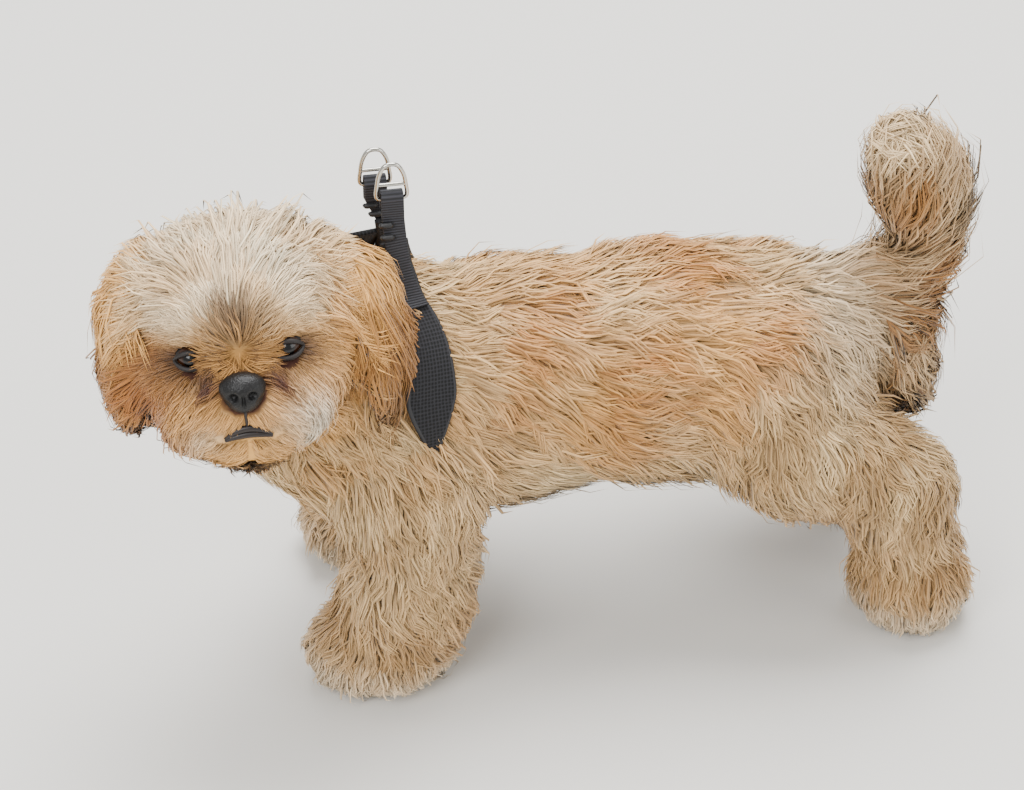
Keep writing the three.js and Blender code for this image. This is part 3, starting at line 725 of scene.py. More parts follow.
def sideStrap(s):
    return {
        "route": [
            crest + (1, s * 9, 40), crest + (3, s * 15, 22), (-133, s * 44, spineZ + 52),
            (-128, s * 68, spineZ + 14), (-127, s * 74, spineZ - 24), (-128, s * 68, spineZ - 50),
        ],
        "width": lambda share: (dog["webbing"] + 16 * np.sin(np.pi * np.clip(share * 1.05 - 0.08, 0, 1)))
        * (1 - 0.8 * smooth(share, 0.46, 0.72)),
        "sink": lambda share: 1.2 + 8.8 * smooth(share, 0.54, 0.8),
        "hug": (0.13, 0.42),
        "shown": 0.72,  # below this share of its length the hair covers it
        "face": unit(np.array((0.1, s, 0.35))),
    }


def neckStrap(s):
    return {
        "route": [
            crest + (-14, s * 10, 32), (-163, s * 38 - 6, spineZ + 60), (-184, s * 48 - 14, spineZ + 18),
            (-212, s * 36 - 18, spineZ - 18), (-226, s * 14 - 18, spineZ - 40),
        ],
        "width": lambda share: harness["neckWidth"] + 0 * share,
        "sink": lambda share: 1.2 + 8.8 * smooth(share, 0.2, 0.5),
        "hug": (0.12, 0.4),
        "shown": 0.32,
        "face": unit(np.array((-0.2, s, 0.35))),
    }


chestStrap = {
    "route": [(-228, -18, spineZ - 36), (-222, -14, spineZ - 54), (-200, -8, spineZ - 72)],
    "width": lambda share: harness["neckWidth"] + 0 * share,
    "sink": lambda share: 3 + 0 * share,
    "hug": (-2, -1),
    "shown": 0.55,
    "face": np.array((-1.0, 0, 0)),
}


def layStrap(strap, rows, columns, wider=0.0):
    line = spline(strap["route"], rows)
    share = np.linspace(0, 1, rows)
    close = smooth(share, *strap["hug"])[:, None]
    line = line + (settle(wornField, line) - line) * close
    out = unit(strap["face"] + (outward(wornField, line) - strap["face"]) * close)
    across = unit(np.cross(np.gradient(line, axis=0), out))
    offsets = np.linspace(-0.5, 0.5, columns)[:, None, None]
    spots = line + across * offsets * (strap["width"](share) + wider)[:, None]
    flat = spots.reshape(-1, 3)
    sunk = settle(wornField, flat, -np.tile(strap["sink"](share), columns))
    grid = flat + (sunk - flat) * np.tile(close, (columns, 1))
    return grid.reshape(columns, rows, 3).transpose(1, 0, 2), out


# The coat: each tuft is a thin closed blade with four stations, rooted in the skin and bent along the lie of
# the hair
coat = {
    "count": 124000,
    "clump": 9,  # tufts that share one lock
    "pull": (0, 0.1, 0.28, 0.5),  # how far each station is drawn to the lock's own tuft
    "spread": 0.28,  # the share of its own place that a tuft keeps in its lock
    "rootDepth": 0.6,
    "lift": (0.5, 0.9, 1.0),  # the later stations' heights, as shares of the rise
    "shade": (0.82, 0.95, 1.04, 1.1),  # painted shade and light: darker in the depth among the tufts and lighter at the tip
    "pieceLimit": 16000,  # tufts in one piece
    "trunk": {"length": 36, "width": 1.85, "rise": 7.5, "wave": 2.4, "dense": 1.0},
    "neck": {"length": 34, "width": 1.8, "rise": 8.0, "wave": 1.8, "dense": 1.1},
    "head": {"length": 39, "width": 1.35, "rise": 7.0, "wave": 1.2, "dense": 2.7},
    "ear": {"length": 46, "width": 1.5, "rise": 5.0, "wave": 1.6, "dense": 1.9},
    "leg": {"length": 28, "width": 1.7, "rise": 7.5, "wave": 2.2, "dense": 1.15},
    "tail": {"length": 50, "width": 1.55, "rise": 9.5, "wave": 3.0, "dense": 2.2},
}
kindOf = {"trunk": "trunk", "neck": "neck", "head": "head", "earLeft": "ear", "earRight": "ear"}
kindOf.update(tailBase="tail", plume="tail")
pawSpots = {}
for leg in ("fore", "hind"):
    for sideName, s in (("Left", -1), ("Right", 1)):
        kindOf[leg + sideName] = "leg"
        pawSpots[leg + sideName] = (dog[leg + "PawX"] + legShift[leg + sideName], s * dog["stanceHalf"])
noseSpot = onFace(0, 66, -17)
eyeSpots = [onFace(s * dog["eyeApart"], eyeForward + 8, eyeUp) for s in sides]
stopSpot = onFace(0, 56, 2)
mouthUp = -39
mouthSpot = onFace(0, 64, mouthUp)


def blended(shares, key):
    return shares @ np.array([coat[kindOf[name]][key] for name in partNames], float)


def away(points, spot):
    return unit(points - spot)


def lieOfHair(points, shares):
    lie = np.zeros_like(points)
    height = points[:, 2]
    for index, name in enumerate(partNames):
        if name == "trunk":
            chest = smooth(-points[:, 0], 165, 190)[:, None]
            own = np.array((1, 0, -0.55)) * (1 - chest) + np.array((0.3, 0, -1)) * chest
        elif name == "neck":
            own = np.tile((0.7, 0, -0.8), (len(points), 1))
        elif name == "head":
            left, forward, up = faceLocal(points)
            fall = 0.2 + 0.75 * smooth(np.abs(left), 14, 50) * smooth(forward, -20, 20)
            own = away(points, stopSpot) + np.array((0, 0, -1)) * fall[:, None]
            below = 1 - smooth(up, 2, 9)
            for spot in eyeSpots:
                gap = np.linalg.norm(points - spot, axis=1)
                own += away(points, spot) * (1.6 * below * (1 - smooth(gap, 9, 24)))[:, None]
            part = np.sign(left) * smooth(-up, 22, 30) * smooth(forward, 34, 48)
            part = part * (1 - smooth(np.abs(left), 14, 26))
            own += 1.3 * part[:, None] * faceWay(1, 0, 0)
            gap = np.linalg.norm(points - noseSpot, axis=1)
            own += away(points, noseSpot) * (1.2 * (1 - smooth(gap, 12, 30)))[:, None]
        elif name.startswith("ear"):
            own = np.tile((0, 0, -1.0), (len(points), 1))
        elif name in pawSpots:
            paw = np.array((*pawSpots[name], 0))
            flare = smooth(-height, -52, -10)[:, None]
            own = np.array((0.18, 0, -1)) + unit((points - paw) * (1, 1, 0)) * flare * 0.85
        elif name == "tailBase":
            top = smooth(height, spineZ + 28, spineZ + 48)[:, None]
            own = np.array((1, 0, 0.35)) * top + np.array((0.42, 0, -1)) * (1 - top)
        else:
            spine = tailLine[78]
            own = unit((points - spine) * (1, 1, 0)) * 0.7 + (0, 0, 1)
        lie += unit(own) * shares[:, index, None]
    return unit(lie)


def sizesOnHead(points):  # short round the eyes, nose and mouth, longer over the crown and cheeks
    gaps = [np.linalg.norm(points - spot, axis=1) - 3 for spot in eyeSpots]
    gaps += [np.linalg.norm(points - noseSpot, axis=1) - 6, np.linalg.norm(points - mouthSpot, axis=1) - 6]
    return smooth(np.min(gaps, axis=0), 2, 42)


def treeOf(spots):
    tree = KDTree(len(spots))
    for index, spot in enumerate(spots):
        tree.insert(Vector(spot), index)
    tree.balance()
    return tree


# Where the tufts grow: thicker on the feet and the face, and none on the eyes, nose, mouth and soles
skin.data.calc_loop_triangles()
corners = readRows(skin.data.loop_triangles, "vertices", int, 3)
loops = readRows(skin.data.loop_triangles, "loops", int, 3)
skinUv = readRows(skin.data.uv_layers["OFBake"].data, "uv", float, 2)
triangle = skinPoints[corners]
areas = np.linalg.norm(np.cross(triangle[:, 1] - triangle[:, 0], triangle[:, 2] - triangle[:, 0]), axis=1) / 2
centres = triangle.mean(1)
centreShares = partShares(centres)
density = areas * blended(centreShares, "dense")
density *= 1 + 0.7 * smooth(-centres[:, 2], -60, -20)
density *= 1 + 1.2 * centreShares[:, partNames.index("head")] * (1 - sizesOnHead(centres))
for spot, clear in ((eyeSpots[0], 9), (eyeSpots[1], 9), (onFace(0, 68, -17), 12)):
    density[np.linalg.norm(centres - spot, axis=1) < clear] = 0
left, forward, up = faceLocal(centres)
mouthGap = np.hypot(np.maximum(np.abs(left) - 12, 0), up - mouthUp)
density[(mouthGap < 5.2) & (forward > 48)] = 0
density[centres[:, 2] < soleHeight + 1] = 0

total = coat["count"]
chosen = draw.choice(len(density), total, p=density / density.sum())
mix = draw.dirichlet((1, 1, 1), total)
roots = (triangle[chosen] * mix[:, :, None]).sum(1)
rootUv = (skinUv[loops[chosen]] * mix[:, :, None]).sum(1)
shares = partShares(roots)
lie = lieOfHair(roots, shares)
headShare = shares[:, partNames.index("head")]
faceSize = 1 - headShare * (1 - sizesOnHead(roots))
legShare = shares[:, [partNames.index(name) for name in pawSpots]].sum(1)
footSize = 1 - 0.42 * smooth(-roots[:, 2], -60, -16) * legShare
length = blended(shares, "length") * (0.24 + 0.76 * faceSize) * footSize * draw.uniform(0.72, 1.22, total)
width = blended(shares, "width") * (0.5 + 0.5 * faceSize) * (0.4 + 0.6 * footSize)
width = width * draw.uniform(0.75, 1.25, total)
rise = blended(shares, "rise") * (0.3 + 0.7 * faceSize) * (0.6 + 0.4 * footSize)
rootUp = faceLocal(roots)[2]
stray = 0.975  # one tuft in forty stands loose
loose = draw.uniform(0.62, 1.14, total) + 0.7 * (draw.uniform(0, 1, total) > stray)
loose = loose + 1.6 * headShare * smooth(rootUp, 26, 40) * (draw.uniform(0, 1, total) > stray)
rise = rise * loose * (1 + 0.38 * mottle(roots, 15, 63))
tailShare = shares[:, [partNames.index("tailBase"), partNames.index("plume")]].sum(1)
rise = rise * (1 + tailShare * draw.uniform(-0.5, 0.75, total))
wave = blended(shares, "wave") * faceSize

# Locks: tufts near one guide turn towards it, and wave with it
guideCount = max(total // coat["clump"], 1)
guides = draw.choice(total, guideCount, replace=False)
guideTree = treeOf(roots[guides])
guideOf = guides[[guideTree.find(Vector(spot))[1] for spot in roots]]
guidePhase = draw.uniform(0, 2 * math.pi, total)[guideOf]
guideSwing = draw.normal(0, 1, total)[guideOf]

outs = [outward(skinField, roots)]
stations = [roots - outs[0] * coat["rootDepth"]]
bend = 0.34 * mottle(roots, 34, 61) + 0.22 * mottle(roots, 13, 62) + 0.08 * guideSwing
heading = lie + (bend * (0.35 + 0.65 * faceSize))[:, None] * np.cross(outs[0], lie)
heading = heading + draw.normal(0, 0.07, (total, 3))
for step in (1, 2, 3):
    heading = unit(heading - (heading * outs[-1]).sum(1)[:, None] * outs[-1])
    across = np.cross(outs[-1], heading)
    swing = wave * np.sin(guidePhase + step * 1.9) * (0.5 + 0.25 * step)
    spot = stations[-1] + heading * (length / 3)[:, None] + across * swing[:, None]
    spot = settle(skinField, spot, rise * coat["lift"][step - 1], 2)
    spot[:, 2] = np.maximum(spot[:, 2], 1.2 + 0.5 * (3 - step))  # clear of the floor
    stations.append(spot)
    outs.append(outward(skinField, spot))
    heading = heading + 0.15 * across * np.sin(guidePhase)[:, None]
besideGuide = (roots - roots[guideOf]) * coat["spread"]
for step in range(4):
    pull = coat["pull"][step] * (0.45 + 0.55 * faceSize)[:, None]
    stations[step] = stations[step] * (1 - pull) + (stations[step][guideOf] + besideGuide) * pull
print("tufts laid,", total)

# Hair under a strap is pressed flat
press = {"rows": 60, "columns": 9, "margin": 3, "reach": 9, "beside": 2.2, "under": 1.6}


def pressUnder(strap):
    share = np.linspace(0, 1, press["rows"])
    grid, _ = layStrap(strap, press["rows"], press["columns"], wider=-press["margin"])
    fromFront = grid[:, :, 0] - grid[:, :, 0].min(1, keepdims=True)
    fromFront = fromFront / np.ptp(grid[:, :, 0], axis=1)[:, None]
    covered = smooth(share, strap["shown"] - 0.12, strap["shown"] + 0.02)[:, None]  # hair closes from the front
    closeRows = (share > strap["hug"][0] + 0.08) & (share < strap["shown"])
    pad = grid[closeRows[:, None] & (fromFront >= covered)]
    padTree = treeOf(pad)
    lowBox, highBox = pad.min(0) - press["reach"], pad.max(0) + press["reach"]
    for step in (1, 2, 3):
        spots, ways = stations[step], outs[step]
        for index in np.nonzero(np.all((spots > lowBox) & (spots < highBox), axis=1))[0]:
            nearest, _, gap = padTree.find(Vector(spots[index]))
            over = (spots[index] - np.array(nearest)) @ ways[index]
            beside = math.sqrt(max(gap * gap - over * over, 0))
            if gap < press["reach"] and beside < press["beside"] and over > -press["under"]:
                spots[index] -= ways[index] * (over + press["under"])


for strap in (sideStrap(-1), sideStrap(1), neckStrap(-1), neckStrap(1), chestStrap):
    pressUnder(strap)
print("hair pressed under the harness")

# Colours: the markings, with some tufts and locks paler or darker than their neighbours
rootColour = markings(roots, shares) * draw.normal(1, 0.06, total).clip(0.8, 1.2)[:, None]
rootColour = rootColour * (1 + 0.09 * draw.normal(0, 1, total)[guideOf]).clip(0.75, 1.25)[:, None]
earShare = shares[:, [partNames.index("earLeft"), partNames.index("earRight")]].sum(1)
fringeShare = shares[:, partNames.index("tailBase")] * smooth(-roots[:, 2], -(spineZ + 26), -(spineZ - 14))
tipDark = np.clip(earShare * smooth(-rootUp, 18, 46) * 0.7 + fringeShare * 0.85, 0, 1)
tipDark = tipDark * (draw.uniform(0, 1, total) < 0.8)
stationColour = []
# Each station's colour takes the painted shade and light of coat["shade"]
for step, shade in enumerate(coat["shade"]):
    dark = (tipDark * (0, 0.15, 0.55, 0.95)[step])[:, None]
    stationColour.append(rootColour * shade * (1 - dark) + tones["black"] * dark)

# Blades: a point under the skin, two rings of three and a tip
blade = {"widths": (1.0, 0.78), "thickness": 0.34, "patch": 0.003, "outLean": 0.35, "ownLean": 0.9}
bladePoints = np.empty((total, 8, 3))
bladeColours = np.empty((total, 8, 3))
bladePoints[:, 0] = stations[0]
bladePoints[:, 7] = stations[3]
bladeColours[:, 0] = stationColour[0]
bladeColours[:, 7] = stationColour[3]
for step in (1, 2):
    tangent = unit(stations[step + 1] - stations[step - 1])
    across = unit(np.cross(tangent, outs[step]))
    half = (width * blade["widths"][step - 1] / 2)[:, None]
    ring = step * 3 - 2
    bladePoints[:, ring] = stations[step] - across * half
    bladePoints[:, ring + 1] = stations[step] + across * half
    bladePoints[:, ring + 2] = stations[step] + np.cross(across, tangent) * half * blade["thickness"]
    bladeColours[:, ring : ring + 3] = stationColour[step][:, None]
bladePoints[:, :, 2] = np.maximum(bladePoints[:, :, 2], 0.6)
bladeFaces = []
for a, b in ((1, 2), (2, 3), (3, 1)):
    bladeFaces += [(0, b, a), (a, b, b + 3), (a, b + 3, a + 3), (a + 3, b + 3, 7)]
bladeFaces = np.array(bladeFaces)
first = bladePoints[0][bladeFaces] - bladePoints[0].mean(0)  # all are wound as the first one
if np.einsum("ij,ij->i", first[:, 0], np.cross(first[:, 1], first[:, 2])).sum() < 0:
    bladeFaces = bladeFaces[:, ::-1]
bladeUv = np.array([(0.5, 0), *[(u, v) for v in (0.35, 0.7) for u in (0, 1, 0.5)], (0.5, 1)]) - 0.5
bladeStrand = np.array([(0, 0, 0), *[(u, v, 0) for v in (0.3, 0.6) for u in (-2.5, 2.5, 0)], (0, 0.9, 0)])

# Soft shading: a blade's normals lean towards those of the body under it
bladeNormals = np.empty((total, 8, 3))
for row, step in enumerate((0, 1, 1, 1, 2, 2, 2, 3)):
    side = bladePoints[:, row] - stations[step]
    bladeNormals[:, row] = unit(outs[step] * blade["outLean"] + unit(side) * blade["ownLean"])


def bladePiece(name, use):
    count = len(use)
    piece = bpy.data.meshes.new(name)
    piece.vertices.add(count * 8)
    piece.vertices.foreach_set("co", toScene(bladePoints[use]).astype(np.float32).ravel())
    faceCount = count * len(bladeFaces)
    indices = (bladeFaces[None] + (np.arange(count) * 8)[:, None, None]).ravel()
    piece.loops.add(faceCount * 3)
    piece.loops.foreach_set("vertex_index", indices.astype(np.int32))
    piece.polygons.add(faceCount)
    piece.polygons.foreach_set("loop_start", np.arange(0, faceCount * 3, 3, dtype=np.int32))
    piece.polygons.foreach_set("use_smooth", np.ones(faceCount, bool))
    piece.update(calc_edges=True)
    layer = piece.uv_layers.new(name="OFBake")
    spots = rootUv[use][:, None, :] + bladeUv[None] * blade["patch"]
    layer.data.foreach_set("uv", spots.reshape(-1, 2)[indices].astype(np.float32).ravel())
    piece.normals_split_custom_set_from_vertices(bladeNormals[use].reshape(-1, 3).astype(np.float32))
    obj = bpy.data.objects.new(name, piece)
    bpy.context.scene.collection.objects.link(obj)
    paint(obj, bladeColours[use].reshape(-1, 3))
    strand = piece.attributes.new("strand", "FLOAT_VECTOR", "POINT")
    grains = bladeStrand[None] + (np.array((7.3, 0, 3.1)) * use[:, None])[:, None]
    strand.data.foreach_set("vector", grains.astype(np.float32).ravel())
    finishPiece(obj, hairMaterial)
    return obj


mainPart = shares.argmax(1)
coatPieces = []
for index, name in enumerate(partNames):
    use = np.nonzero(mainPart == index)[0]
    use = use[np.argsort(roots[use, 0])]
    groups = max(1, math.ceil(len(use) / coat["pieceLimit"]))
    for number, group in enumerate(np.array_split(use, groups)):
        label = f"coat_{name}" + (f"_{number + 1}" if groups > 1 else "")
        coatPieces.append(bladePiece(label, group))
triangles = sum(len(obj.data.polygons) for obj in coatPieces)
print("coat made,", triangles, "triangles in", len(coatPieces), "pieces")

fleshNodes = ["head", "ear_left", "ear_right", "torso", "neck", "tail_base", "tail_plume"]
for side in ("left", "right"):
    fleshNodes += [f"foreleg_{side}", f"forepaw_{side}", f"thigh_{side}", f"hind_foot_{side}"]
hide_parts(*fleshNodes)

# Eyes: dark brown and wet, with a clear domed front
eyeMaterial, eyeTree, eyeShader = newMaterial(
    "wetEyeball", Roughness=0.2, Coat_Weight=0.25, Coat_Roughness=0.05, Specular_IOR_Level=0.3
)
eyeAngle = addNode(eyeTree, "ShaderNodeAttribute", attribute_name="fromPupil").outputs["Fac"]
eyeColour = rampFrom(eyeTree, eyeAngle, [
    (0.0, "#050404"), (0.24, "#050404"), (0.29, "#2c170b"), (0.52, "#3a2010"), (0.6, "#0c0807"),
    (0.78, "#2a201b"),
])
eyeTree.links.new(eyeColour.outputs["Color"], eyeShader.inputs["Base Color"])

eyeShape = {"segments": 48, "rings": 32, "cornea": 0.8, "radius": 9.4, "inset": 1.4}
for sideName, s in (("left", 1), ("right", -1)):
    clearSelection()
    bpy.ops.mesh.primitive_uv_sphere_add(
        segments=eyeShape["segments"], ring_count=eyeShape["rings"], radius=eyeShape["radius"] * 0.001
    )
    eye = bpy.context.object
    eye.name = f"eyeball_{sideName}"
    gaze = faceWay(s * 0.06, 1, -0.02)
    local = readPoints(eye)
    cosine = local @ gaze / (eyeShape["radius"] * 0.001)
    angle = np.arccos(np.clip(cosine, -1, 1))
    dome = eyeShape["cornea"] * 0.001 * (1 - smooth(angle, 0, 0.75))
    seat = eyeCentre(s) - faceWay(0, 1, 0) * eyeShape["inset"]
    writePoints(eye, local + gaze * dome[:, None] + toScene(seat))
    layer = eye.data.attributes.new("fromPupil", "FLOAT", "POINT")
    layer.data.foreach_set("value", (angle / math.pi * 2).astype(np.float32))
    shadeSmooth(eye)
    finishPiece(eye, eyeMaterial)
    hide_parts(f"eye_{sideName}")

# Lid rims: bare dark skin round each eye
rimMaterial, _, _ = newMaterial("bareLidSkin", Base_Color=linear("#140c0a"), Roughness=0.6)
lidShape = {"radius": 1.5, "half": 68, "over": -0.5, "upper": 27, "lower": -30}


def tubeAlong(name, points, radii, closed=False, sides=10):
    curve = bpy.data.curves.new(name, "CURVE")
    curve.dimensions = "3D"
    curve.bevel_depth = 1
    curve.bevel_resolution = max(1, sides // 4)
    curve.use_fill_caps = not closed
    line = curve.splines.new("POLY")
    line.points.add(len(points) - 1)
    line.use_cyclic_u = closed
    line.use_smooth = True
    for point, spot, radius in zip(line.points, toScene(points), np.broadcast_to(radii, len(points))):
        point.co = (*spot, 1)
        point.radius = radius * 0.001
    obj = bpy.data.objects.new(name, curve)
    bpy.context.scene.collection.objects.link(obj)
    makeActive(obj)
    bpy.ops.object.convert(target="MESH")
    obj = bpy.context.object
    editWhole(obj, bpy.ops.mesh.normals_make_consistent, inside=False)
    shadeSmooth(obj)
    return obj


for sideName, s in (("left", 1), ("right", -1)):
    for lidName, rise in (("upper", lidShape["upper"]), ("lower", lidShape["lower"])):
        share = np.linspace(-1, 1, 25)
        across = np.radians(share * lidShape["half"])
        lift = np.radians(rise * (1 - share * share))
        ways = np.stack([
            faceWay(math.sin(a), math.cos(a) * math.cos(u), math.sin(u)) for a, u in zip(across, lift)
        ])
        rim = eyeCentre(s) + ways * (dog["eyeRadius"] + lidShape["over"])
        lid = tubeAlong(f"lid_{lidName}_{sideName}", rim, lidShape["radius"] * (1 - 0.45 * share**2))
        finishPiece(lid, rimMaterial)

# Nose: bare, damp and pebbled black leather
noseMaterial, noseTree, noseShader = newMaterial(
    "dampNoseLeather", Base_Color=linear("#0b0a0b"), Roughness=0.45, Specular_IOR_Level=0.35
)
pebbles = addNode(
    noseTree, "ShaderNodeTexVoronoi", {
        "Vector": addNode(noseTree, "ShaderNodeTexCoord").outputs["Object"],
        "Scale": 1 / 0.0011,  # grains about 1.1 mm apart
    }
)
noseBump = addNode(
    noseTree, "ShaderNodeBump", {"Height": pebbles.outputs["Distance"], "Strength": 0.55, "Distance": 0.0004},
    invert=True,
)
noseTree.links.new(noseBump.outputs["Normal"], noseShader.inputs["Normal"])

noseField = hollow(
    2,
    blend(
        5,
        ellipsoid(onFace(0, 68, -14), (dog["noseWidth"] / 2, 9, 8), faceTurn),
        ellipsoid(onFace(0, 68, -20), (dog["noseWidth"] / 2 - 3, 8.5, 8), faceTurn),
    ),
    *[ellipsoid(onFace(s * 5.4, 78, -17.5), (3, 5.5, 2.6), faceTurn) for s in sides],
    *[ellipsoid(onFace(s * 10.5, 75, -21), (3.2, 4, 1.7), faceTurn) for s in sides],
    ellipsoid(onFace(0, 79, -22), (1.1, 5, 7), faceTurn),
)
clearSelection()
bpy.ops.mesh.primitive_uv_sphere_add(segments=96, ring_count=64, radius=1)
nose = bpy.context.object
nose.name = "nose_leather"
ways = unit(readPoints(nose))
inner, outer = np.zeros(len(ways)), np.full(len(ways), 24.0)
for _ in range(18):  # halve the gap to the surface along each way out
    halfway = (inner + outer) / 2
    inside = noseField(noseSpot + ways * halfway[:, None]) < 0
    inner, outer = np.where(inside, halfway, inner), np.where(inside, outer, halfway)
writePoints(nose, toScene(noseSpot + ways * inner[:, None]))
shadeSmooth(nose)
finishPiece(nose, noseMaterial)
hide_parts("nose")

# Lips: dark rims of the mouth under the moustache
lipMaterial, _, _ = newMaterial("dampLipSkin", Base_Color=linear("#1c1210"), Roughness=0.45)
mouth = {"half": 13, "upper": 1.5, "lower": -2.6, "radius": 2.1}
headTop = parts["head"][1]


def onHeadSkin(left, forward, up, height=0.0):
    spots = np.array([onFace(l, f, u) for l, f, u in zip(left, forward, up)])
    return settle(headTop, spots, height)


share = np.linspace(-1, 1, 25)
for lipName, above in (("upper", mouth["upper"]), ("lower", mouth["lower"])):
    line = onHeadSkin(
        share * mouth["half"], 68 - 6 * share**2, mouthUp + above * (1 - 0.7 * share**2) - 2.4 * share**2, 0.2
    )
    lip = tubeAlong(f"lip_{lipName}", line, mouth["radius"] * (1 - 0.6 * share**2))
    finishPiece(lip, lipMaterial)
seamLine = onHeadSkin(np.zeros(8), np.linspace(72, 68, 8), np.linspace(-27, mouthUp + 2, 8), 0.0)
seam = tubeAlong("lip_seam", seamLine, 0.9)
finishPiece(seam, lipMaterial)
print("face made")

# Harness cloth: spacer mesh on the panels, ribbed nylon webbing over them
meshMaterial, meshTree, meshShader = newMaterial(
    "polyesterSpacerMesh", Roughness=0.82, Specular_IOR_Level=0.25, Sheen_Weight=0.1
)
clothUv = addNode(meshTree, "ShaderNodeUVMap", uv_map="cloth").outputs["UV"]
holes = addNode(meshTree, "ShaderNodeTexVoronoi", {
    "Vector": clothUv, "Scale": 1 / 0.0021, "Randomness": 0.12,  # holes about 2.1 mm apart
})
# The holes are painted near black, as painted shade down in the mesh
meshHoleShadeStops = [(0.0, "#050506"), (0.3, "#0b0b0d"), (0.5, "#232327")]
meshColour = rampFrom(meshTree, holes.outputs["Distance"], meshHoleShadeStops)
meshTree.links.new(meshColour.outputs["Color"], meshShader.inputs["Base Color"])
meshBump = addNode(meshTree, "ShaderNodeBump", {
    "Height": holes.outputs["Distance"], "Strength": 0.8, "Distance": 0.0006,
})
meshTree.links.new(meshBump.outputs["Normal"], meshShader.inputs["Normal"])

webMaterial, webTree, webShader = newMaterial("ribbedNylonWebbing", Roughness=0.66, Specular_IOR_Level=0.35)
webUv = addNode(webTree, "ShaderNodeUVMap", uv_map="cloth").outputs["UV"]
ribs = addNode(webTree, "ShaderNodeTexWave", {
    "Vector": webUv, "Scale": 2 * math.pi / 20 / 0.0016,  # ribs 1.6 mm apart, coarse enough to show
}, bands_direction="Y")
# The grooves between the ribs are painted darker and the crests lighter, as painted shade and light
webColour = rampFrom(webTree, ribs.outputs["Fac"], [(0.0, "#151518"), (1.0, "#34343a")])
webTree.links.new(webColour.outputs["Color"], webShader.inputs["Base Color"])
webBump = addNode(webTree, "ShaderNodeBump", {
    "Height": ribs.outputs["Fac"], "Strength": 0.6, "Distance": 0.0004,
})
webTree.links.new(webBump.outputs["Normal"], webShader.inputs["Normal"])

# Grosgrain tape folded over the panels' edges: dark and a little shiny
bindingMaterial, _, _ = newMaterial("grosgrainBinding", Base_Color=linear("#1b1b1f"), Roughness=0.6)


def clothSheet(name, grid, thickness, rounding):
    rows, columns = grid.shape[:2]
    flat = toScene(grid.reshape(-1, 3))
    faces = [
        (r * columns + c, (r + 1) * columns + c, (r + 1) * columns + c + 1, r * columns + c + 1)
        for r in range(rows - 1)
        for c in range(columns - 1)
    ]
    obj = objectFrom(name, flat, faces)
    layer = obj.data.uv_layers.new(name="cloth")
    middleLine = grid[:, columns // 2]
    along = np.concatenate([[0], np.cumsum(np.linalg.norm(np.diff(middleLine, axis=0), axis=1))]) * 0.001
    across = np.linalg.norm(grid - middleLine[:, None], axis=2) * 0.001
    across[:, : columns // 2] *= -1
    place = np.stack([across, np.tile(along[:, None], (1, columns))], 2).reshape(-1, 2)
    index = np.empty(len(obj.data.loops), int)
    obj.data.loops.foreach_get("vertex_index", index)
    layer.data.foreach_set("uv", place[index].astype(np.float32).ravel())
    thick = obj.modifiers.new("thick", "SOLIDIFY")
    thick.thickness = thickness * 0.001
    thick.offset = 1
    edge = obj.modifiers.new("edge", "BEVEL")
    edge.width = rounding * 0.001
    edge.segments = 3
    edge.limit_method = "ANGLE"
    applyModifiers(obj)
    shadeSmooth(obj)
    return obj


def outwardGrid(grid, out):
    normal = np.cross(grid[1, 1] - grid[1, 0], grid[2, 0] - grid[1, 0])
    return grid if normal @ out[1] < 0 else grid[:, ::-1]


def padPiece(name, strap, rows, nodes):
    grid, out = layStrap(strap, rows, 9)
    grid = outwardGrid(grid, out)
    pad = clothSheet(name, grid, harness["padThickness"], 1.1)
    finishPiece(pad, meshMaterial)
    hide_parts(*nodes)
    for number, edge in enumerate((grid[:, 0], grid[:, -1])):
        normal = outward(wornField, edge)
        close = smooth(np.linspace(0, 1, rows), *strap["hug"])[:, None]
        lift = unit(out + (normal - out) * close) * harness["padThickness"] / 2
        binding = tubeAlong(f"{name}_binding_{number + 1}", edge + lift, 1.75)
        finishPiece(binding, bindingMaterial)


for sideName, s in (("left", -1), ("right", 1)):
    padPiece(f"side_panel_{sideName}", sideStrap(s), 64, [f"harness_side_{sideName}"])
    padPiece(f"neck_panel_{sideName}", neckStrap(s), 56, [f"harness_neck_{sideName}"])
padPiece("chest_panel", chestStrap, 24, ["harness_chest"])


def barPlace(s):
    return np.array((crest[0] + (1 if s < 0 else -6), s * 8 - 2, harness["barHeight"]), float)


foldRadius = harness["barRadius"] + 0.7 + harness["webThickness"] / 2


def riserLine(s):
    strap = sideStrap(s)
    rows = 61
    grid, out = layStrap(strap, rows, 3)
    share = np.linspace(0, 1, rows)
    lift = harness["padThickness"] + harness["webGap"]
    picks = [int(round(p * (rows - 1))) for p in (0.24, 0.21, 0.18, 0.15, 0.12, 0.09, 0.06, 0.03)]
    middles = [grid[i, 1] + out[i] * lift for i in picks]
    crosses = [unit(grid[i, 2] - grid[i, 0]) for i in picks]
    widths = list(np.interp(share[picks], (0.03, 0.1, 0.16, 0.2, 0.24), (12.5, 12.5, 17, 19.5, 21)))
    bar = barPlace(s)
    flip = np.sign(crosses[-1][0])
    places = [bar + (0, s * foldRadius, -12)]
    for angle in np.linspace(0, math.pi, 11):
        places.append(bar + np.array((0, s * math.cos(angle), math.sin(angle))) * foldRadius)
    places.append(bar + (0, -s * foldRadius, -9))
    middles += places
    crosses += [np.array((flip, 0, 0))] * len(places)
    widths += [dog["webbing"]] * len(places)
    offsets = np.linspace(-0.5, 0.5, 5)
    return np.stack([m + np.outer(offsets * w, c) for m, c, w in zip(middles, crosses, widths)]), out


for sideName, s in (("left", -1), ("right", 1)):
    grid, out = riserLine(s)
    riser = clothSheet(f"riser_{sideName}", outwardGrid(grid, [out[25]] * 3), harness["webThickness"], 0.5)
    finishPiece(riser, webMaterial)
    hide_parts(f"harness_riser_{sideName}")

